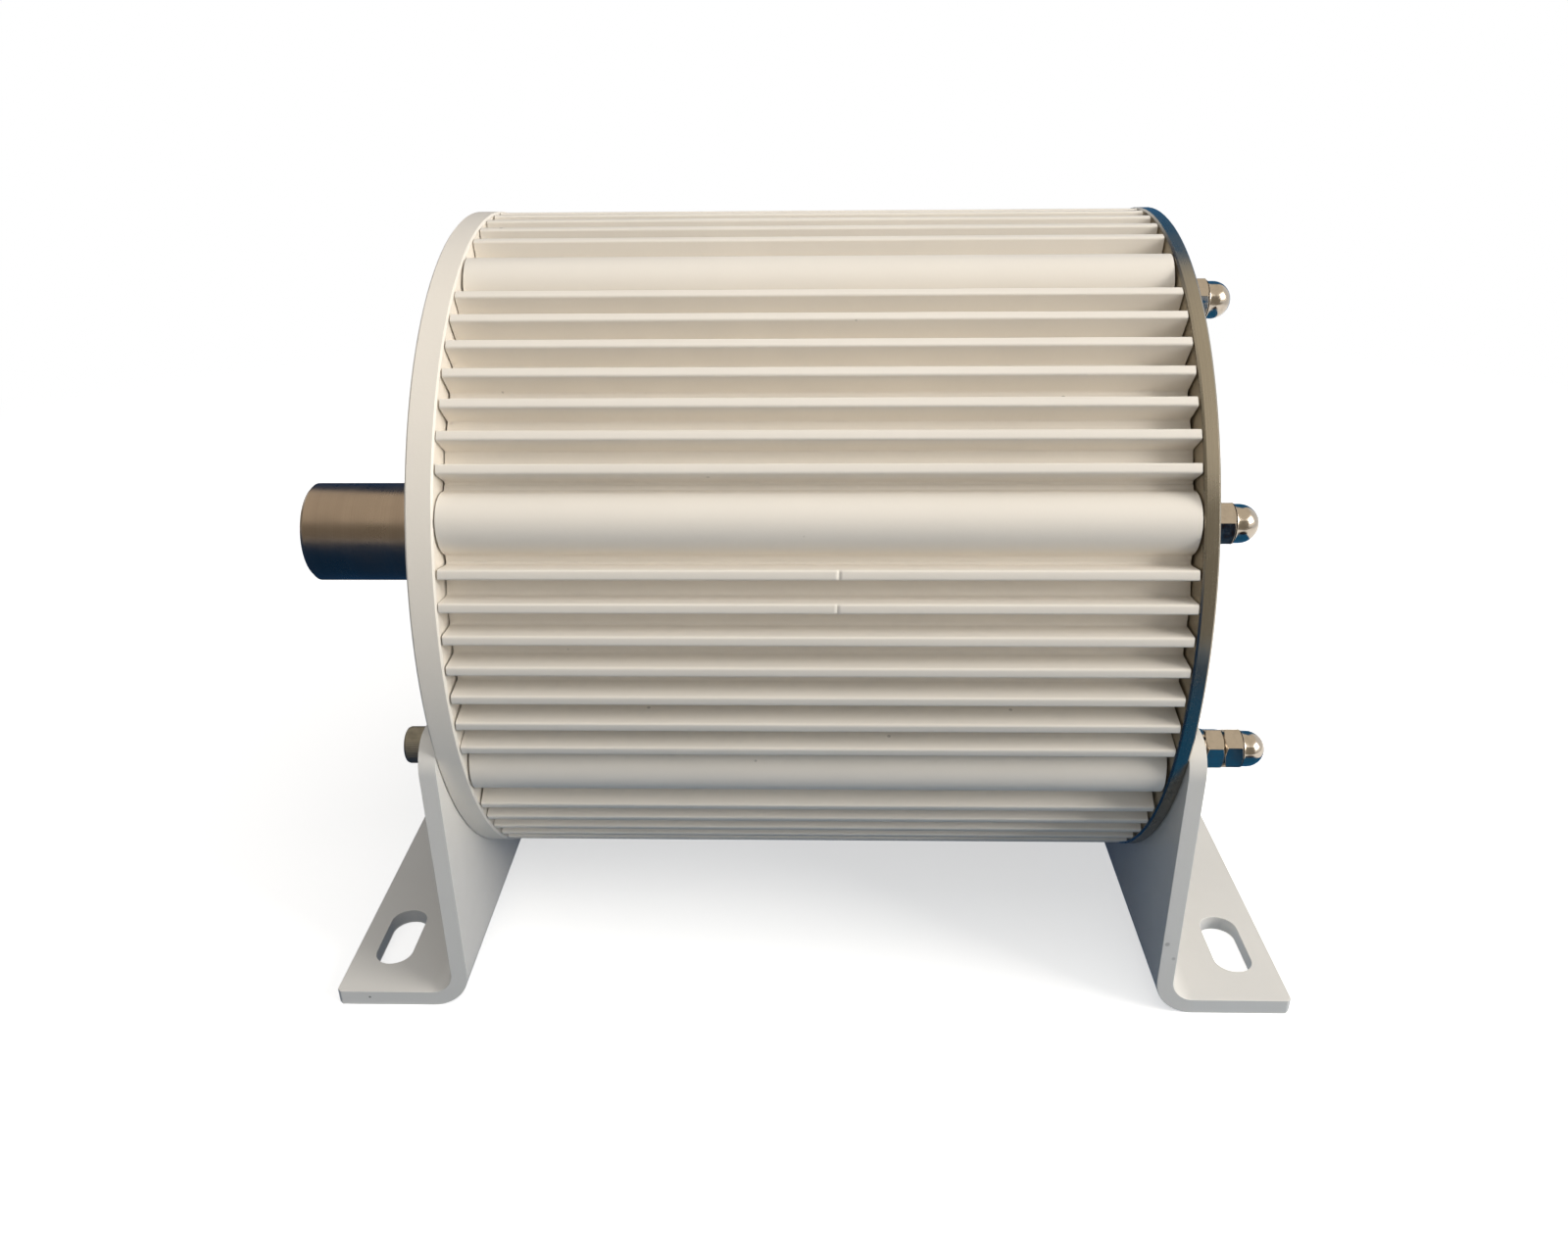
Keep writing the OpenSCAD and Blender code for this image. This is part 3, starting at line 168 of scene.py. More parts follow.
class FinishSettings(bpy.types.PropertyGroup):
    """Colours of the finishes, and the roundings of the edges."""

    paint: colour_setting(
        "Powder coat", (0.83, 0.78, 0.705), "Coat of the housing and of the front cover")
    foot_paint: colour_setting("Foot coat", (0.72, 0.705, 0.675), "Coat of both feet")
    aluminium: colour_setting(
        "Machined aluminium", (0.335, 0.30, 0.24), "Bare metal of the rear cover")
    shaft: colour_setting("Turned steel", (0.33, 0.262, 0.205), "Bare metal of the drive shaft")
    stainless: colour_setting(
        "Stainless steel", (0.44, 0.385, 0.32), "Bright metal of the nuts and washers")
    screw: colour_setting("Screw steel", (0.27, 0.25, 0.205), "Dull metal of the screws")
    cover_edge: in_mm("Cover edges", 0.3, "Rounding of the coated cover's edges")
    bare_edge: in_mm("Bare edges", 0.2, "Rounding of the bare cover and the shaft")
    foot_edge: in_mm("Foot edges", 0.8, "Rounding of the coated feet's edges")
    nut_edge: in_mm("Nut edges", 0.12, "Rounding of the nuts' edges")
    small_edge: in_mm("Small edges", 0.15, "Rounding of spring washers and seals")
    gland_edge: in_mm("Gland edges", 0.4, "Rounding of the moulded gland's edges")


class StageSettings(bpy.types.PropertyGroup):
    """Camera, lamps, floor, and the glowing cards that paint what the metal mirrors."""

    camera_place: FloatVectorProperty(
        name="Camera place", description="Where the camera stands", subtype="XYZ", size=3,
        unit="LENGTH", default=(471.31 * MM, 2.62 * MM, 324.37 * MM))
    camera_pitch: in_radians("Camera pitch", 0.44654, "How far the camera looks down")
    camera_yaw: in_radians("Camera yaw", -0.03005, "Turn of the camera about the upright")
    camera_roll: in_radians("Camera roll", -0.01092, "Turn of the camera about its own axis")
    lens: number_setting("Lens", 28.235, "Focal length in millimetres", "CAMERA")
    floor_size: number_setting("Floor size", 24, "Length of each side of the floor", "LENGTH")
    shadow_reach: number_setting(
        "Shadow reach", 0.55, "How far from the middle the floor shows the shadow", "LENGTH")
    bright_side: number_setting("Bright side", 0.45, "Strength of the light on the bright side")
    dark_side: number_setting("Dark side", 0.022, "Strength of the light on the dark side")
    bright_towards: FloatVectorProperty(
        name="Bright direction", description="Direction in which the room is bright",
        subtype="DIRECTION", size=3, default=(0.40, 0.42, 0.815))
    window: number_setting("Window light", 55, "Power of the lamp at the window", "POWER")
    ceiling: number_setting("Ceiling light", 9, "Power of the lamp over the machine", "POWER")
    # The cloth colours are glows of cards that only mirror-like rays see: painted reflections of
    # a blue cloth. The lit one is the same cloth painted lighter, as if the window lit it.
    cloth: colour_setting("Cloth", (0.011, 0.050, 0.135), "Blue cloth that the metal mirrors")
    painted_lit_cloth: colour_setting(
        "Lit cloth", (0.022, 0.15, 0.34), "The same cloth where the window lights it")


def add_node(tree, kind, links=None, **values):
    """Adds a node, sets its properties and links or sets its inputs by name or number."""
    made = tree.nodes.new(kind)
    for key, value in values.items():
        setattr(made, key, value)
    for key, source in (links or {}).items():
        socket = made.inputs[key]
        if isinstance(source, bpy.types.NodeSocket):
            tree.links.new(source, socket)
        else:
            socket.default_value = source
    return made


class Finish:
    """A material's node tree, with short calls for its nodes."""

    def __init__(self, name, colour, metallic=0.0, roughness=0.5, **sockets):
        self.material = bpy.data.materials.new(name)
        self.material.use_nodes = True
        self.material.diffuse_color = (*colour, 1)
        self.tree = self.material.node_tree
        self.shader = self.tree.nodes["Principled BSDF"]
        self.shader.inputs["Base Color"].default_value = (*colour, 1)
        self.shader.inputs["Metallic"].default_value = metallic
        self.shader.inputs["Roughness"].default_value = roughness
        for socket, value in sockets.items():
            self.shader.inputs[socket.replace("_", " ")].default_value = value
        self.place = self.node("ShaderNodeTexCoord").outputs["Object"]

    def node(self, kind, links=None, **values):
        """Adds a node to this material."""
        return add_node(self.tree, kind, links, **values)

    def math(self, operation, a, b=0.0):
        """The result of an operation on one or two values."""
        return self.node("ShaderNodeMath", {0: a, 1: b}, operation=operation).outputs[0]

    def scaled(self, vector, scale, centre=(0, 0, 0)):
        """The vector moved to a centre and multiplied by a scale on each axis."""
        moved = self.node("ShaderNodeVectorMath", {0: vector, 1: centre}, operation="SUBTRACT")
        sized = self.node(
            "ShaderNodeVectorMath", {0: moved.outputs[0], 1: scale}, operation="MULTIPLY")
        return sized.outputs[0]

    def noise(self, vector, scale, detail=2.0, roughness=0.5):
        """Smooth noise from 0 to 1, finer the larger the scale."""
        return self.node(
            "ShaderNodeTexNoise",
            {"Vector": vector, "Scale": scale, "Detail": detail, "Roughness": roughness},
        ).outputs["Fac"]

    def ramp(self, value, low, high, out_low=0.0, out_high=1.0):
        """Maps a range of values to another, held at both ends."""
        return self.node(
            "ShaderNodeMapRange",
            {"Value": value, "From Min": low, "From Max": high,
             "To Min": out_low, "To Max": out_high},
        ).outputs["Result"]

    def mix(self, factor, a, b):
        """Blends two colours, given as triples or sockets."""
        made = self.node("ShaderNodeMix", {"Factor": factor}, data_type="RGBA")
        for key, source in ((6, a), (7, b)):
            if isinstance(source, bpy.types.NodeSocket):
                self.tree.links.new(source, made.inputs[key])
            else:
                made.inputs[key].default_value = (*source, 1)
        return made.outputs[2]

    def bump(self, height, distance, strength=1.0, before=None):
        """A normal for heights of up to a distance in metres, over the normal before it."""
        links = {"Height": height, "Distance": distance, "Strength": strength}
        if before is not None:
            links["Normal"] = before
        return self.node("ShaderNodeBump", links).outputs["Normal"]

    def join(self, **links):
        """Links sockets of the shader, with _ for each space in a name."""
        for name, source in links.items():
            self.tree.links.new(source, self.shader.inputs[name.replace("_", " ")])
        return self.material

    def from_axis(self):
        """The distance from the shaft axis, and the place along it."""
        split = self.node(
            "ShaderNodeSeparateXYZ", {0: self.scaled(self.place, (1, 1, 1), (0, 0, AXIS_Z))})
        x2 = self.math("MULTIPLY", split.outputs["X"], split.outputs["X"])
        z2 = self.math("MULTIPLY", split.outputs["Z"], split.outputs["Z"])
        return self.math("SQRT", self.math("ADD", x2, z2)), split.outputs["Y"]

    def around_axis(self, scale):
        """A vector of the distance from the shaft axis and of the place along it, scaled."""
        radius, along = self.from_axis()
        return self.node("ShaderNodeCombineXYZ", {
            "X": self.math("MULTIPLY", radius, scale),
            "Y": self.math("MULTIPLY", along, scale)}).outputs[0]


def shade(colour, factor):
    """A lighter or darker tone of a colour."""
    return tuple(min(1.0, c * factor) for c in colour)


def powder_coat(name, colour, rough=0.5, chips=()):
    """Semi-matt powder coat: orange peel, slow drifts of tone, dust specks and tiny craters.
    Each chip is a place, a radius and how dark the coat is there."""
    f = Finish(name, colour, roughness=rough, Coat_Weight=0.12, Coat_Roughness=0.35)
    drift = f.noise(f.place, scale=11, detail=3)
    cloud = f.noise(f.place, scale=70, detail=2)
    tone = f.mix(f.ramp(drift, 0.3, 0.7), shade(colour, 0.965), shade(colour, 1.02))
    tone = f.mix(f.ramp(cloud, 0.35, 0.75, 0, 0.35), tone, shade(colour, 0.95))
    cells = f.node("ShaderNodeTexVoronoi", {"Vector": f.place, "Scale": 95.0, "Randomness": 1.0})
    pick = f.node("ShaderNodeSeparateColor", {0: cells.outputs["Color"]}).outputs[0]
    near = f.ramp(cells.outputs["Distance"], 0.05, 0.075, 1, 0)
    few = f.math("GREATER_THAN", pick, 0.93)
    speck = f.math("MULTIPLY", near, few)
    tone = f.mix(f.math("MULTIPLY", speck, 0.55), tone, shade(colour, 0.35))
    for place, radius, depth in chips:
        away = f.node("ShaderNodeVectorMath", {0: f.place, 1: place}, operation="DISTANCE")
        inside = f.ramp(away.outputs["Value"], radius / 2, radius, depth, 0)
        tone = f.mix(inside, tone, shade(colour, 0.12))
    peel = f.noise(f.place, scale=950, detail=2, roughness=0.45)
    coarse = f.noise(f.place, scale=240, detail=1)
    normal = f.bump(peel, 0.04 * MM, 0.5)
    normal = f.bump(coarse, 0.05 * MM, 0.3, normal)
    normal = f.bump(f.math("MULTIPLY", speck, -1.0), 0.15 * MM, 0.6, normal)
    gloss = f.ramp(cloud, 0.2, 0.8, rough - 0.05, rough + 0.07)
    return f.join(Base_Color=tone, Roughness=gloss, Normal=normal)


def turned_metal(name, colour, rough, pitch=0.35 * MM, stain=0.25, bright_from=0.0):
    """Metal from the lathe: fine rings round the axis, stains and a few darker passes. Nearer
    to the axis than bright_from the surface is duller, as a plate's face beside its rim."""
    f = Finish(name, colour, metallic=1.0, roughness=rough)
    fine = f.noise(f.around_axis(1 / pitch), scale=1.0, detail=3, roughness=0.65)
    passes = f.noise(f.around_axis(0.06 / pitch), scale=1.0, detail=2)
    blotch = f.noise(f.place, scale=60, detail=4, roughness=0.6)
    ring = f.ramp(fine, 0.25, 0.75)
    tone = f.mix(ring, shade(colour, 0.86), shade(colour, 1.1))
    tone = f.mix(f.ramp(passes, 0.35, 0.7, 0, 0.4), tone, shade(colour, 0.8))
    tone = f.mix(f.ramp(blotch, 0.45, 0.8, 0, stain), tone, shade(colour, 0.62))
    smear = f.ramp(blotch, 0.3, 0.8, rough - 0.05, rough + 0.1)
    gloss = f.math("ADD", smear, f.ramp(fine, 0, 1, -0.04, 0.04))
    if bright_from:
        face = f.ramp(f.from_axis()[0], bright_from - 1 * MM, bright_from, 1, 0)
        gloss = f.math("ADD", gloss, f.math("MULTIPLY", face, 0.2))
        tone = f.mix(face, tone, f.mix(ring, shade(colour, 1.35), shade(colour, 1.6)))
    return f.join(Base_Color=tone, Roughness=gloss, Normal=f.bump(fine, 0.02 * MM, 0.8))


def bright_metal(name, colour, rough=0.11, scratch=0.06):
    """Polished metal with hairline scratches, faint wear and a little grime."""
    f = Finish(name, colour, metallic=1.0, roughness=rough)
    hair = f.noise(f.scaled(f.place, (900, 160, 900)), scale=1.0, detail=2)
    wear = f.noise(f.place, scale=420, detail=3)
    tone = f.mix(f.ramp(wear, 0.45, 0.75, 0, 0.4), colour, shade(colour, 0.72))
    worn = f.ramp(wear, 0.3, 0.8, rough - 0.04, rough + 0.12)
    gloss = f.math("ADD", worn, f.ramp(hair, 0.3, 0.8, 0, scratch))
    return f.join(Base_Color=tone, Roughness=gloss, Normal=f.bump(hair, 0.008 * MM, 0.6))


def striped(name, colour, second, direction, pitch, metallic, rough, depth=0.08 * MM):
    """Layers or turns side by side: stripes of two tones along a direction, rounded over."""
    f = Finish(name, colour, metallic=metallic, roughness=rough)
    scale = tuple(d / pitch for d in direction)
    dot = f.node("ShaderNodeVectorMath", {0: f.place, 1: scale}, operation="DOT_PRODUCT")
    wave = f.math("PINGPONG", dot.outputs["Value"], 0.5)
    drift = f.noise(f.place, scale=90, detail=2)
    tone = f.mix(f.ramp(wave, 0.0, 0.2), second, colour)
    tone = f.mix(f.ramp(drift, 0.3, 0.8, 0, 0.3), tone, shade(colour, 0.75))
    return f.join(
        Base_Color=tone, Roughness=f.ramp(drift, 0.2, 0.8, rough - 0.06, rough + 0.08),
        Normal=f.bump(f.math("SQRT", wave), depth, 0.8))


def moulded(name, colour, rough, grain=700):
    """Moulded plastic or rubber: fine grain with slight drifts of tone."""
    f = Finish(name, colour, roughness=rough)
    fine = f.noise(f.place, scale=grain, detail=3)
    drift = f.noise(f.place, scale=50, detail=2)
    tone = f.mix(f.ramp(drift, 0.3, 0.75), colour, shade(colour, 1.35))
    return f.join(
        Base_Color=tone, Roughness=f.ramp(fine, 0.2, 0.8, rough - 0.08, rough + 0.08),
        Normal=f.bump(fine, 0.03 * MM, 0.6))


def link_piece(name, mesh, body, node, material):
    """Puts a mesh into the scene as a piece on a body, in place of the node it stands for."""
    piece = bpy.data.objects.new(name, mesh)
    bpy.context.scene.collection.objects.link(piece)
    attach(piece, body)
    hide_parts(node)
    mesh.materials.clear()
    mesh.materials.append(material)
    return piece


def round_edges(piece, width, segments, angle):
    """Rounds the edges that are sharper than an angle in degrees."""
    bevel = piece.modifiers.new("Rounded edges", "BEVEL")
    bevel.width = width
    bevel.segments = segments
    bevel.limit_method = "ANGLE"
    bevel.angle_limit = math.radians(angle)
    bevel.use_clamp_overlap = True
    bevel.harden_normals = True


def points_of(mesh):
    """The vertices of a mesh as rows of x, y and z."""
    co = np.zeros(len(mesh.vertices) * 3)
    mesh.vertices.foreach_get("co", co)
    return co.reshape(-1, 3)


def mesh_of(name, parts, sharp=32.0):
    """One mesh from (points, faces) pairs: its doubles merged, its faces of no area dropped,
    turned outwards, and smooth up to an angle in degrees."""
    weld = 1e-7
    count, points, faces = 0, [], []
    for part_points, part_faces in parts:
        points.append(np.asarray(part_points, float).reshape(-1, 3))
        faces += [[int(i) + count for i in face] for face in part_faces]
        count += len(points[-1])
    mesh = bpy.data.meshes.new(name)
    mesh.from_pydata(np.concatenate(points).tolist(), [], faces)
    work = bmesh.new()
    work.from_mesh(mesh)
    bmesh.ops.remove_doubles(work, verts=work.verts, dist=weld)
    bmesh.ops.dissolve_degenerate(work, edges=work.edges, dist=weld)
    bmesh.ops.recalc_face_normals(work, faces=work.faces)
    work.to_mesh(mesh)
    work.free()
    mesh.shade_smooth()
    mesh.set_sharp_from_angle(angle=math.radians(sharp))
    return mesh


def grid_faces(rows, columns, wrap_rows=False):
    """Four-sided faces of a grid whose rows are rings, and whose last row may meet its first."""
    i = np.arange(rows if wrap_rows else rows - 1)[:, None]
    j = np.arange(columns)[None, :]
    i2, j2 = (i + 1) % rows, (j + 1) % columns
    corners = [i * columns + j, i * columns + j2, i2 * columns + j2, i2 * columns + j]
    return np.stack([np.broadcast_to(c, (i.size, j.size)) for c in corners], -1).reshape(-1, 4)


def turned(points, angles):
    """Copies of points across the shaft, turned by each of the angles."""
    c, n = np.cos(angles)[:, None], np.sin(angles)[:, None]
    u, v = points[:, 0], points[:, 1]
    return np.stack([u * c - v * n, u * n + v * c], -1).reshape(-1, 2)


def sector(settings, fin_steps=5, boss_steps=28):
    """Outline of one boss and of the fins after it, as [outwards, across] points, and the
    turns of those fins. A fin's flank is an arc at its foot, a straight side and an arc at
    its tip, and its other flank is the mirror image. The boss is a hollow arc that runs into
    a round back."""
    s = settings
    tip = s.valley_radius + s.fin_height
    draft = math.atan((s.fin_root_width - s.fin_tip_width) / 2 / s.fin_height)
    t = np.linspace(0, math.pi / 2 - draft, fin_steps)
    foot = np.stack([s.valley_radius + s.fin_fillet * (1 - np.cos(t)),
                     s.fin_root_width / 2 + s.fin_fillet * (1 - np.sin(t))], -1)
    t = np.linspace(draft, math.pi / 2, fin_steps)
    crown = np.stack([tip - s.fin_corner + s.fin_corner * np.sin(t),
                      s.fin_tip_width / 2 - s.fin_corner + s.fin_corner * np.cos(t)], -1)
    flank = np.concatenate([foot, crown])
    fin = np.concatenate([flank * [1, -1], flank[::-1]])
    boss_mid = tip + s.boss_rise - s.boss_radius
    reach = s.valley_radius + s.boss_fillet - boss_mid
    side = math.sqrt((s.boss_radius + s.boss_fillet) ** 2 - reach ** 2)
    end = math.atan2(side, reach)
    t = np.linspace(0, end, fin_steps)[:-1]
    foot = np.stack([s.valley_radius + s.boss_fillet * (1 - np.cos(t)),
                     side - s.boss_fillet * np.sin(t)], -1)
    t = np.linspace(end, -end, boss_steps)
    back = np.stack([boss_mid + s.boss_radius * np.cos(t), -s.boss_radius * np.sin(t)], -1)
    boss = np.concatenate([foot * [1, -1], back, foot[::-1]])
    first = (side + s.boss_gap + s.fin_fillet + s.fin_root_width / 2) / s.valley_radius
    turns = np.linspace(first, BOSS_PITCH - first, s.fins_per_gap)
    return np.concatenate([boss, turned(fin, turns)]), turns


def rings_of(section, ys):
    """Points of a section across the shaft at each place along it."""
    xz = np.broadcast_to(section, (len(ys), *section.shape[-2:]))
    y = np.broadcast_to(np.reshape(ys, (len(ys), -1, 1)), (*xz.shape[:2], 1))
    return np.concatenate([xz[..., :1], y, xz[..., 1:] + AXIS_Z], -1)


def make_housing(settings, material):
    """The housing: eight turned copies of the sector carried along the shaft, with its bore,
    its bolt holes and its two end faces. A dent lowers the tip of one fin over a short way."""
    one, turns = sector(settings)
    bosses = FIRST_BOSS + np.arange(BOSSES) * BOSS_PITCH
    outline = turned(one, bosses)
    radius = np.hypot(outline[:, 0], outline[:, 1])
    angle = np.arctan2(outline[:, 1], outline[:, 0])

    front = HOUSING_LOW.y + settings.end_gap
    rear = HOUSING_HIGH.y - settings.end_gap
    half = settings.dent_width / 2
    steps = range(-DENT_RINGS, DENT_RINGS + 1)
    rings = {front, rear} | {y * MM + k * half for _, y, _ in DENTS for k in steps}
    rings = np.array(sorted(rings))
    shell = np.broadcast_to(outline, (len(rings), len(outline), 2)).copy()
    edge_radius = settings.valley_radius + settings.fin_height - 1.2 * MM
    edge_angle = math.radians(1.3)
    for fin, y, size in DENTS:
        on_edge = (abs(angle - FIRST_BOSS + turns[fin]) < edge_angle) & (radius > edge_radius)
        share = np.interp(abs(rings - y * MM), [0, half], [1.0, 0.0])
        drop = settings.dent_depth * size * share[:, None] * on_edge[None, :]
        shell *= (1 - drop / radius)[:, :, None]

    # Two waves round the axis, so that neighbouring fins end at slightly different places.
    wander = settings.cut_wander * (0.5 + 0.5 * np.sin(23 * angle + 0.7) * np.sin(7 * angle))
    along = np.repeat(rings[:, None], len(outline), 1)
    along[0] += wander
    along[-1] -= wander

    t = np.linspace(0, 2 * math.pi, BORE_STEPS + 1)[:-1]
    circle = np.stack([np.cos(t), np.sin(t)], -1)
    hole = circle[::HOLE_STRIDE] * settings.hole_radius
    centres = [settings.bolt_circle * np.array([math.cos(a), math.sin(a)]) for a in bosses]
    loops = [circle * settings.bore_radius] + [hole + centre for centre in centres]
    parts = [(rings_of(shell, along), grid_faces(len(rings), len(outline)))]
    parts += [(rings_of(loop[None], (front, rear)), grid_faces(2, len(loop))) for loop in loops]
    flat = [outline] + loops
    triangles = tessellate_polygon([[Vector((*p, 0)) for p in loop] for loop in flat])
    inner = np.ones(sum(len(loop) for loop in loops))
    for edge, y in ((along[0], front), (along[-1], rear)):
        ys = np.concatenate([edge, inner * y])[None]
        parts.append((rings_of(np.concatenate(flat)[None], ys), triangles))
    link_piece(
        "finned_housing", mesh_of("finned_housing", parts, sharp=40), "stator", "housing",
        material)


def narrow_rim(mesh, chamfer):
    """Narrows the chamfers at both edges of a cover's rim, inside the rim's own outline."""
    close = 0.01 * MM
    co = points_of(mesh)
    radius = np.hypot(co[:, 0], co[:, 2] - AXIS_Z)
    outer = radius > radius.max() - close
    edge_radius = radius[~outer].max()
    edge = ~outer & (radius > edge_radius - close)
    spare = radius.max() - edge_radius - chamfer
    middle = (co[edge, 1].min() + co[edge, 1].max()) / 2
    co[outer, 1] += np.sign(co[outer, 1] - middle) * spare
    grow = 1 + spare / edge_radius
    co[edge, 0] *= grow
    co[edge, 2] = AXIS_Z + (co[edge, 2] - AXIS_Z) * grow
    mesh.vertices.foreach_set("co", co.ravel())


def rounded_copy(node, name, width, material, body="stator", segments=3, rim=0.0):
    """A copy of a node's mesh with its doubles merged, its flats cleared and its edges
    rounded. A rim above nought is the chamfer that a cover's rim gets."""
    angle = 30.0
    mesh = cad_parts[node].data.copy()
    mesh.name = name
    work = bmesh.new()
    work.from_mesh(mesh)
    bmesh.ops.remove_doubles(work, verts=work.verts, dist=0.002 * MM)
    bmesh.ops.dissolve_limit(
        work, angle_limit=math.radians(0.5), verts=work.verts, edges=work.edges,
        delimit={"NORMAL"})
    work.to_mesh(mesh)
    work.free()
    if rim:
        narrow_rim(mesh, rim)
    mesh.shade_smooth()
    mesh.set_sharp_from_angle(angle=math.radians(angle))
    piece = link_piece(name, mesh, body, node, material)
    round_edges(piece, width, segments, angle)


def hexagon_radius(turn, flats):
    """Distance from the middle to the side of a hexagon in each direction."""
    return flats / 2 / np.cos((turn % (math.pi / 3)) - math.pi / 6)


def revolved(profile, steps=48, turn=0.0):
    """Points of a body turned about Z. profile(t) gives rows of (radius, z) for all angles t."""
    t = np.linspace(0, 2 * math.pi, steps, endpoint=False)
    rows = profile(t)
    r = np.stack([np.broadcast_to(a, t.shape) for a, _ in rows])
    z = np.stack([np.broadcast_to(b, t.shape) for _, b in rows])
    return np.stack([r * np.cos(t + turn), r * np.sin(t + turn), z], -1)


def nut_profile(settings, height, dome):
    """A hexagon whose corners a cone cuts off at both ends, with a hole or a dome on top."""
    s = settings
    face = s.nut_flats / 2 - 0.45 * MM
    lead = 0.5 * MM
    slope = math.tan(NUT_CONE)
    bend = 0.45 * MM
    bend_middle = 0.13 * MM
    thread_depth = 10 * MM

    def rows(t):
        side = hexagon_radius(t, s.nut_flats)
        drop = (side - face) * slope
        start = [(s.thread_radius, lead), (s.thread_radius + lead, 0), (face, 0),
                 (side, drop), (side, height - drop), (face, height)]
        if not dome:
            return start + [(s.thread_radius + lead, height), (s.thread_radius, height - lead)]
        neck = s.acorn_height - s.dome_radius
        ends = [(s.dome_radius + bend, height),
                (s.dome_radius + bend_middle, height + bend_middle),
                (s.dome_radius, height + bend)]
        a = np.linspace(0, math.pi / 2, 14)
        cap = [(s.dome_radius * math.cos(k), neck + s.dome_radius * math.sin(k)) for k in a]
        return [(0, thread_depth), (s.thread_radius, thread_depth)] + start + ends + cap
    return rows


def head_profile(settings):
    """A cylinder head with straight knurls on its side and a hexagon socket in its end."""
    s = settings
    top, out = s.head_height, s.head_radius
    edge = 0.8 * MM
    lip = 0.25 * MM
    socket_point = 1.2 * MM

    def rows(t):
        ridge = out - s.knurl_depth * (0.5 - 0.5 * np.cos(t * s.knurl_count))
        socket = hexagon_radius(t, s.socket_flats)
        return [
            (0, 0), (out - 0.4 * MM, 0), (out - 0.1 * MM, 0.3 * MM),
            (ridge, 0.7 * MM), (ridge, top - edge - 0.3 * MM),
            (out - 0.1 * MM, top - edge), (out - 0.35 * MM, top - 0.3 * MM), (out - edge, top),
            (socket + lip, top), (socket, top - lip),
            (socket, top / 2), (0, top / 2 - socket_point)]
    return rows


def stem_profile(settings, low, high):
    """A screw's stem from under its head to its chamfered end."""
    r = settings.thread_radius - 0.05 * MM
    chamfer = 0.8 * MM
    return lambda _: [(0, low), (r, low), (r, high - chamfer), (r - chamfer, high), (0, high)]


def washer_profile(hole, outer, thickness):
    """A flat ring with rounded edges."""
    edge = 0.25 * MM
    corners = [(outer - edge, edge, -math.pi / 2), (outer - edge, thickness - edge, 0),
               (hole + edge, thickness - edge, math.pi / 2), (hole + edge, edge, math.pi)]
    arc = np.linspace(0, math.pi / 2, 4)
    rows = [(r + edge * math.cos(start + a), z + edge * math.sin(start + a))
            for r, z, start in corners for a in arc]
    return lambda _: rows


def placed(points, circle, angle, y, rearwards=True):
    """Points of a fastener drawn along Z, set at y on the bolt circle, along the shaft."""
    x, across, along = points[..., 0], points[..., 1], points[..., 2]
    cx, cz = circle * math.cos(angle), circle * math.sin(angle) + AXIS_Z
    way = 1 if rearwards else -1
    return np.stack([cx + x, y + way * along, cz - way * across], -1)


def make_group(name, node, material, copies, bevel=0.0):
    """One piece of like solids, from their grids of points and whether each grid closes."""
    parts = [(points, grid_faces(*points.shape[:2], wrap_rows=closed))
             for points, closed in copies]
    piece = link_piece(name, mesh_of(name, parts), "stator", node, material)
    if bevel:
        round_edges(piece, bevel, segments=2, angle=25)


def solids_of(node, apart=50 * MM):
    """Angle and ends along the shaft of each solid of a fastener node, told apart by gaps."""
    co = points_of(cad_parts[node].data)
    turn = np.arctan2(co[:, 2] - AXIS_Z, co[:, 0])
    place = np.round((turn - FIRST_BOSS) / BOSS_PITCH).astype(int)
    found = []
    for k in np.unique(place):
        y = np.sort(co[place == k, 1])
        cuts = np.nonzero(np.diff(y) > apart)[0]
        for part in np.split(y, cuts + 1):
            found.append((FIRST_BOSS + k * BOSS_PITCH, part[0], part[-1]))
    return found


class GENERATOR_OT_housing(bpy.types.Operator):
    """Carries the outline of fins and bosses along the shaft and coats it."""

    bl_idname = "generator.housing"
    bl_label = "Housing"

    def execute(self, context):
        finish = context.scene.generator_finish
        coat = powder_coat("housing_coat", finish.paint, rough=0.48)
        make_housing(context.scene.generator_housing, coat)
        return {"FINISHED"}


class GENERATOR_OT_covers(bpy.types.Operator):
    """Coats the front cover and finishes the bare rear cover."""

    bl_idname = "generator.covers"
    bl_label = "Covers"

    def execute(self, context):
        finish = context.scene.generator_finish
        rim = context.scene.generator_housing.rim_chamfer
        coat = powder_coat("cover_coat", finish.paint, rough=0.46)
        rounded_copy("front_cover", "front_cover_coated", finish.cover_edge, coat,
                     rim=rim)
        bare = turned_metal(
            "machined_aluminium", finish.aluminium, rough=0.25, bright_from=124 * MM)
        rounded_copy("rear_cover", "rear_cover_bare", finish.bare_edge, bare,
                     rim=rim)
        return {"FINISHED"}


class GENERATOR_OT_feet(bpy.types.Operator):
    """Rounds the edges of both bent feet as their coat does, and coats them."""

    bl_idname = "generator.feet"
    bl_label = "Feet"

    def execute(self, context):
        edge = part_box("front_foot")[1].x
        chips = [((edge, y * MM, z * MM), radius * MM, depth)
                 for y, z, radius, depth in FOOT_MARKS]
        finish = context.scene.generator_finish
        coat = powder_coat("foot_coat", finish.foot_paint, rough=0.44, chips=chips)
        for side in ("front", "rear"):
            rounded_copy(f"{side}_foot", f"{side}_foot_coated", finish.foot_edge,
                         coat, segments=4)
        return {"FINISHED"}


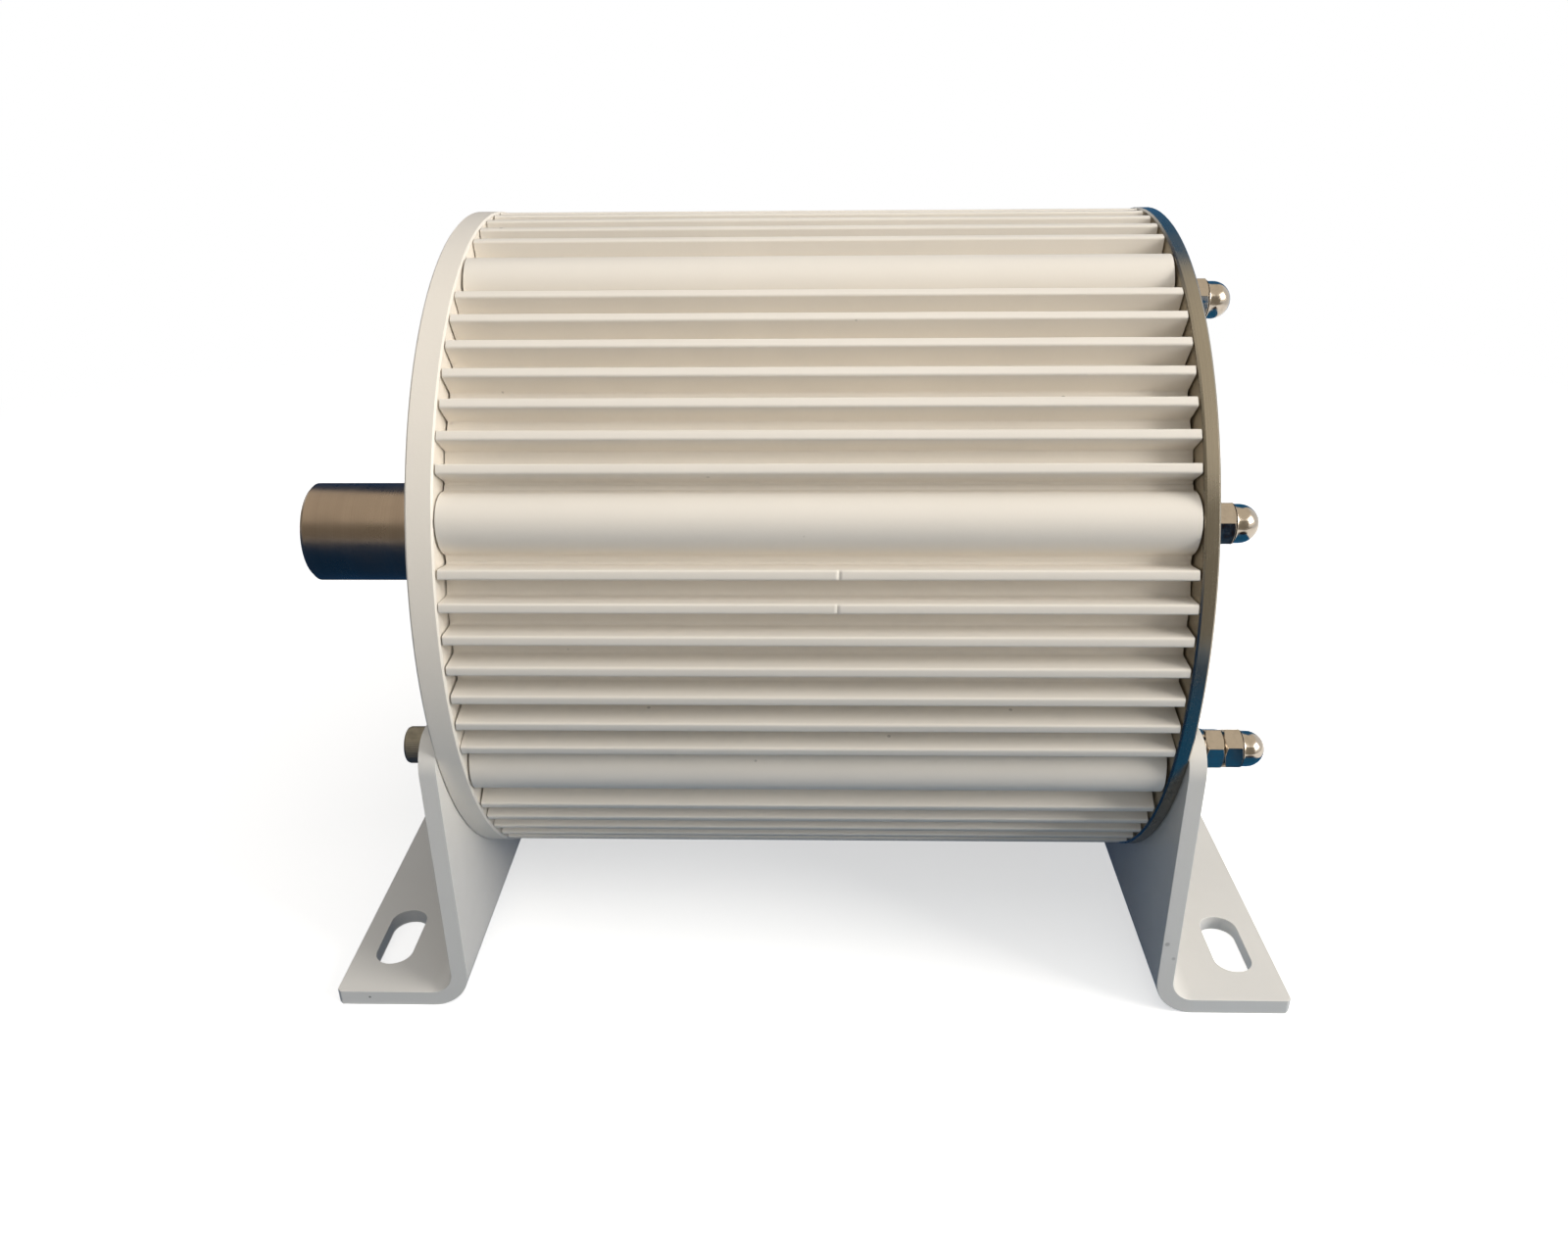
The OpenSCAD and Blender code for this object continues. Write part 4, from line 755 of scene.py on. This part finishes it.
class GENERATOR_OT_fasteners(bpy.types.Operator):
    """Makes the nuts, domed nuts, washers and screw heads."""

    bl_idname = "generator.fasteners"
    bl_label = "Fasteners"

    def execute(self, context):
        s = context.scene.generator_fasteners
        finish = context.scene.generator_finish
        bright = bright_metal("polished_stainless", finish.stainless)
        dull = bright_metal("screw_steel", finish.screw, rough=0.34, scratch=0.2)
        circle = context.scene.generator_housing.bolt_circle
        nuts, domes, flats, screws = [], [], [], []
        for angle, low, high in solids_of("hex_nuts"):
            shape = revolved(nut_profile(s, high - low, dome=False), turn=s.nut_turn)
            nuts.append((placed(shape, circle, angle, low), True))
        for angle, low, _ in solids_of("acorn_nuts"):
            turn = s.foot_dome_turn if math.sin(angle) < 0 else s.cover_dome_turn
            hexagon = s.acorn_height - s.dome_radius - s.dome_neck
            shape = revolved(nut_profile(s, hexagon, dome=True), turn=turn)
            domes.append((placed(shape, circle, angle, low), False))
        for angle, low, high in solids_of("flat_washers"):
            shape = revolved(washer_profile(s.hole_radius, s.washer_radius, high - low))
            flats.append((placed(shape, circle, angle, low), True))
        for angle, low, high in solids_of("foot_bolts", apart=math.inf):
            seat = low + s.head_height
            stem_low = seat - 0.5 * MM
            head = revolved(head_profile(s), steps=6 * s.knurl_count, turn=HEAD_TURN)
            screws.append((placed(head, circle, angle, seat, False), False))
            stem = revolved(stem_profile(s, stem_low, high), steps=32)
            screws.append((placed(stem, circle, angle, 0.0), False))
        make_group("hexagon_nuts", "hex_nuts", bright, nuts, finish.nut_edge)
        make_group("domed_nuts", "acorn_nuts", bright, domes, finish.nut_edge)
        make_group("plain_washers", "flat_washers", bright, flats)
        make_group("socket_screws", "foot_bolts", dull, screws)
        edge = finish.small_edge
        rounded_copy("spring_washers", "split_washers", edge, bright)
        rounded_copy("cover_screws", "sunk_screws", edge, dull)
        return {"FINISHED"}


class GENERATOR_OT_shaft(bpy.types.Operator):
    """Finishes the turned drive shaft."""

    bl_idname = "generator.shaft"
    bl_label = "Shaft"

    def execute(self, context):
        finish = context.scene.generator_finish
        steel = turned_metal(
            "turned_steel", finish.shaft, rough=0.3, pitch=0.25 * MM, stain=0.12)
        rounded_copy(
            "shaft", "drive_shaft", finish.bare_edge, steel, body="rotor")
        return {"FINISHED"}


class GENERATOR_OT_gland(bpy.types.Operator):
    """Finishes the cable gland on the rear cover."""

    bl_idname = "generator.gland"
    bl_label = "Cable gland"

    def execute(self, context):
        finish = context.scene.generator_finish
        nylon = moulded("black_nylon", (0.018, 0.018, 0.02), rough=0.42)
        rubber = moulded("seal_rubber", (0.02, 0.02, 0.021), rough=0.7, grain=400)
        for node in ("gland_body", "gland_dome_nut", "gland_lock_nut"):
            rounded_copy(node, f"{node}_moulded", finish.gland_edge, nylon)
        for node in ("gland_seal", "gland_washer"):
            rounded_copy(node, f"{node}_moulded", finish.small_edge, rubber)
        return {"FINISHED"}


class GENERATOR_OT_inside(bpy.types.Operator):
    """Gives the pieces inside the housing their finishes."""

    bl_idname = "generator.inside"
    bl_label = "Inner pieces"

    def execute(self, context):
        along, aslant = (0.0, 1.0, 0.0), (0.4, 0.9, 0.4)
        sheets = striped("core_sheets", (0.16, 0.16, 0.18), (0.05, 0.05, 0.055), along,
                         pitch=0.5 * MM, metallic=1.0, rough=0.42)
        copper = striped("copper_wire", (0.62, 0.24, 0.09), (0.25, 0.07, 0.02), aslant,
                         pitch=1.1 * MM, metallic=0.7, rough=0.35, depth=0.2 * MM)
        fibre = striped("wound_fibre", (0.02, 0.02, 0.022), (0.008, 0.008, 0.009), along,
                        pitch=0.8 * MM, metallic=0.0, rough=0.3)
        magnet = bright_metal("nickel_plate", (0.48, 0.47, 0.45), rough=0.3)
        ring = bright_metal("bearing_steel", (0.55, 0.54, 0.52), rough=0.14)
        spring = bright_metal("spring_steel", (0.20, 0.19, 0.18), rough=0.35)
        brass = bright_metal("cage_brass", (0.60, 0.43, 0.17), rough=0.28)
        plastic = moulded("bobbin_plastic", (0.62, 0.60, 0.50), rough=0.5)
        rubber = moulded("ring_rubber", (0.016, 0.016, 0.017), rough=0.6, grain=500)
        steel = turned_metal("core_steel", (0.30, 0.29, 0.28), rough=0.4)
        nodes = {
            sheets: ("stator_core", "rotor_core"),
            fibre: ("magnet_sleeve",),
            plastic: ("tooth_insulators",),
            copper: ("winding_phase_u", "winding_phase_v", "winding_phase_w"),
            magnet: ("magnets_north", "magnets_south"),
            steel: ("rotor_end_plates", "rotor_key"),
            rubber: ("shaft_seal", "front_cover_oring", "rear_cover_oring"),
            spring: ("rotor_circlip", "seal_garter_spring", "front_bearing_circlip",
                     "rear_wave_spring"),
            brass: ("front_bearing_cage", "rear_bearing_cage"),
            ring: [f"{side}_bearing_{part}" for side in ("front", "rear")
                   for part in ("outer_ring", "inner_ring", "balls", "shields")],
        }
        for material, names in nodes.items():
            for name in names:
                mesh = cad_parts[name].data
                mesh.materials.clear()
                mesh.materials.append(material)
        return {"FINISHED"}


def aim(obj, direction):
    """Turns a lamp or a card to face a direction."""
    obj.rotation_euler = Vector(direction).to_track_quat("-Z", "Y").to_euler()


def add_lamp(name, place, size, power, colour, mirrored):
    """Adds a soft lamp that faces the machine, and that metal may reflect."""
    data = bpy.data.lights.new(name, "AREA")
    data.shape = "RECTANGLE"
    data.size, data.size_y = size
    data.energy = power
    data.color = colour
    lamp = bpy.data.objects.new(name, data)
    lamp.location = place
    lamp.visible_glossy = mirrored
    bpy.context.scene.collection.objects.link(lamp)
    aim(lamp, Vector((0, 0, AXIS_Z)) - lamp.location)


def sheet(name, x, y):
    """A flat sheet of a given size, as a part of the stage."""
    mesh = bpy.data.meshes.new(name)
    x, y = x / 2, y / 2
    mesh.from_pydata([(-x, -y, 0), (x, -y, 0), (x, y, 0), (-x, y, 0)], [], [(0, 1, 2, 3)])
    made = bpy.data.objects.new(name, mesh)
    bpy.context.scene.collection.objects.link(made)
    return made


def add_reflection_card(name, place, direction, size, colour):
    """Adds a glowing sheet, no lamp, that only metal reflects: a painted reflection of the room.
    """
    card = sheet(name, *size)
    card.location = place
    aim(card, direction)
    card.visible_camera = card.visible_diffuse = card.visible_shadow = False
    card.visible_transmission = False
    material = bpy.data.materials.new(name)
    material.use_nodes = True
    tree = material.node_tree
    # Painted reflection: the card glows in its own colour, and lights and shades nothing.
    glow = add_node(tree, "ShaderNodeEmission", {"Color": (*colour, 1)})
    tree.links.new(glow.outputs[0], tree.nodes["Material Output"].inputs["Surface"])
    card.data.materials.append(material)


def pale_shader(tree, output, surface, white):
    """Shows white to the camera, mirrors and glass, and the given surface to other rays."""
    path = add_node(tree, "ShaderNodeLightPath").outputs
    seen = path["Is Camera Ray"]
    for ray in ("Is Glossy Ray", "Is Transmission Ray"):
        seen = add_node(
            tree, "ShaderNodeMath", {0: seen, 1: path[ray]}, operation="MAXIMUM").outputs[0]
    mix = add_node(tree, "ShaderNodeMixShader", {0: seen, 1: surface, 2: white})
    tree.links.new(mix.outputs[0], output.inputs["Surface"])


class GENERATOR_OT_studio(bpy.types.Operator):
    """Sets up the floor, soft lamps, white surroundings, painted reflections and camera."""

    bl_idname = "generator.studio"
    bl_label = "Studio"

    def execute(self, context):
        s = context.scene.generator_stage
        self.floor(s)
        self.surroundings(context.scene, s)
        add_lamp("window", (1.0, 2.3, 1.2), (1.3, 1.1), s.window, WINDOW_LIGHT, True)
        add_lamp("ceiling", (0.5, 0.1, 1.9), (1.6, 1.6), s.ceiling, CEILING_LIGHT, False)
        self.add_painted_reflections(s)
        self.camera(context.scene, s)
        context.scene.view_settings.view_transform = "Standard"
        return {"FINISHED"}

    def add_painted_reflections(self, s):
        """Adds the glowing cards that paint the room's reflections in the metal: their places,
        the directions they face, their sizes and colours. Those on the floor lie a little over
        one another, and the highest one shows."""
        up, down, front = (0, 0, 1), (0, 0, -1), (1, 0, 0)
        window = (1.3, 2.6, 1.3)
        to_machine = Vector((0, 0, AXIS_Z)) - Vector(window)
        for name, *card in (
                ("dim_wall", (2.0, 0, 0.8), (-1, 0, 0), (4, 1.6), DIM_ROOM_REFLECTION),
                ("end_wall", (0.6, -2.0, 0.8), (0, 1, 0), (4, 1.6), DIM_ROOM_REFLECTION),
                ("far_floor", (1.3, 0.8, 0.001), up, (1.4, 1.6), DIM_ROOM_REFLECTION),
                ("bright_window", window, to_machine, (3.0, 2.2), WINDOW_REFLECTION),
                ("tan_ceiling", (0, 0, 2.4), down, (6, 6), CEILING_REFLECTION),
                ("cloth_behind_left", (-0.55, -0.37, 0.6), front, (0.5, 1.2), s.cloth),
                ("cloth_behind_right", (-0.55, 0.37, 0.6), front, (0.5, 1.2), s.painted_lit_cloth),
                ("cloth_left", (0.35, -0.8, 0.001), up, (1.5, 1.6), s.cloth),
                ("cloth_under", (0.1, -0.01, 0.0015), up, (1.0, 0.30), s.cloth),
                ("cloth_right", (0.1, 0.2, 0.001), up, (1.0, 0.20), s.painted_lit_cloth),
                # A near-black card by the machine: a painted dark reflection in the metal.
                ("dark_floor", (0.36, 0.275, 0.002), up, (0.20, 0.12), DARK_REFLECTION)):
            add_reflection_card(name, *card)

    def floor(self, s):
        """Lays the floor: lit and shaded near the machine, and plain white further out."""
        floor = sheet("studio_floor", s.floor_size, s.floor_size)
        material = bpy.data.materials.new("pale_floor")
        material.use_nodes = True
        tree = material.node_tree
        seen = tree.nodes["Principled BSDF"]
        seen.inputs["Base Color"].default_value = (FLOOR_GREY, FLOOR_GREY, FLOOR_GREY, 1)
        seen.inputs["Roughness"].default_value = 0.9
        glow = add_node(tree, "ShaderNodeEmission", {"Strength": FLOOR_GLOW})
        lit = add_node(tree, "ShaderNodeAddShader", {0: seen.outputs[0], 1: glow.outputs[0]})
        white = add_node(tree, "ShaderNodeEmission")
        place = add_node(tree, "ShaderNodeTexCoord").outputs["Object"]
        away = add_node(tree, "ShaderNodeVectorMath", {0: place}, operation="LENGTH")
        fade = add_node(
            tree, "ShaderNodeMapRange",
            {"Value": away.outputs["Value"], "From Min": s.shadow_reach,
             "From Max": 2 * s.shadow_reach},
            interpolation_type="SMOOTHSTEP").outputs[0]
        far = add_node(
            tree, "ShaderNodeMixShader", {0: fade, 1: lit.outputs[0], 2: white.outputs[0]})
        tone = add_node(
            tree, "ShaderNodeMix", {"Factor": fade, 6: (*NEAR_BOUNCE, 1), 7: (*FAR_BOUNCE, 1)},
            data_type="RGBA")
        bounce = add_node(tree, "ShaderNodeBsdfDiffuse", {"Color": tone.outputs[2]})
        output = tree.nodes["Material Output"]
        pale_shader(tree, output, bounce.outputs[0], far.outputs[0])
        floor.data.materials.append(material)

    def surroundings(self, scene, s):
        """Makes the world: a soft room, brighter on one side, that shows as white."""
        world = bpy.data.worlds.new("studio_white")
        scene.world = world
        world.use_nodes = True
        tree = world.node_tree
        direction = add_node(tree, "ShaderNodeTexCoord").outputs["Generated"]
        towards = add_node(
            tree, "ShaderNodeVectorMath", {0: direction, 1: s.bright_towards},
            operation="DOT_PRODUCT")
        level = add_node(
            tree, "ShaderNodeMapRange",
            {"Value": towards.outputs["Value"], "From Min": DARK_BELOW, "From Max": BRIGHT_ABOVE,
             "To Min": s.dark_side, "To Max": s.bright_side})
        soft = tree.nodes["Background"]
        soft.inputs["Color"].default_value = (*SKY, 1)
        tree.links.new(level.outputs[0], soft.inputs["Strength"])
        white = add_node(
            tree, "ShaderNodeBackground", {"Color": (1, 1, 1, 1), "Strength": 1.0})
        pale_shader(tree, tree.nodes["World Output"], soft.outputs[0], white.outputs[0])

    def camera(self, scene, s):
        """Sets the camera at the photograph's place and angle."""
        data = bpy.data.cameras.new("camera")
        data.lens = s.lens
        data.clip_end = VIEW_REACH
        forward = Vector((-math.cos(s.camera_pitch) * math.cos(s.camera_yaw),
                          math.cos(s.camera_pitch) * math.sin(s.camera_yaw),
                          -math.sin(s.camera_pitch)))
        right = Vector((math.sin(s.camera_yaw), math.cos(s.camera_yaw), 0))
        up = right.cross(forward).normalized()
        c, n = math.cos(s.camera_roll), math.sin(s.camera_roll)
        turned_right = c * right + n * up
        turned_up = c * up - n * right
        turn = Matrix((turned_right, turned_up, -forward)).transposed()
        camera = bpy.data.objects.new("camera", data)
        camera.matrix_world = Matrix.Translation(s.camera_place) @ turn.to_4x4()
        scene.collection.objects.link(camera)
        scene.camera = camera


OPERATORS = (
    GENERATOR_OT_housing,
    GENERATOR_OT_covers,
    GENERATOR_OT_feet,
    GENERATOR_OT_fasteners,
    GENERATOR_OT_shaft,
    GENERATOR_OT_gland,
    GENERATOR_OT_inside,
    GENERATOR_OT_studio,
)


class GENERATOR_PT_panel(bpy.types.Panel):
    """Lists the sizes, the finishes and the steps that make the pieces."""

    bl_idname = "GENERATOR_PT_panel"
    bl_label = "Generator finish"
    bl_space_type = "VIEW_3D"
    bl_region_type = "UI"
    bl_category = "Generator"

    def draw(self, context):
        scene = context.scene
        for settings in SETTINGS:
            group = getattr(scene, settings)
            box = self.layout.box()
            for name in group.__annotations__:
                box.prop(group, name)
        for operator in OPERATORS:
            self.layout.operator(operator.bl_idname)


SETTINGS = {
    "generator_housing": HousingSettings,
    "generator_fasteners": FastenerSettings,
    "generator_finish": FinishSettings,
    "generator_stage": StageSettings,
}


def register():
    """Registers the classes and hangs the settings on the scene."""
    for group in (*SETTINGS.values(), *OPERATORS, GENERATOR_PT_panel):
        bpy.utils.register_class(group)
    for name, group in SETTINGS.items():
        setattr(bpy.types.Scene, name, PointerProperty(type=group))


def unregister():
    """Takes off the settings and unregisters the classes."""
    for name in SETTINGS:
        delattr(bpy.types.Scene, name)
    for group in reversed((*SETTINGS.values(), *OPERATORS, GENERATOR_PT_panel)):
        bpy.utils.unregister_class(group)


def main():
    """Runs every operator in order."""
    register()
    for operator in OPERATORS:
        module, name = operator.bl_idname.split(".")
        getattr(getattr(bpy.ops, module), name)()


if __name__ == "__main__":
    main()
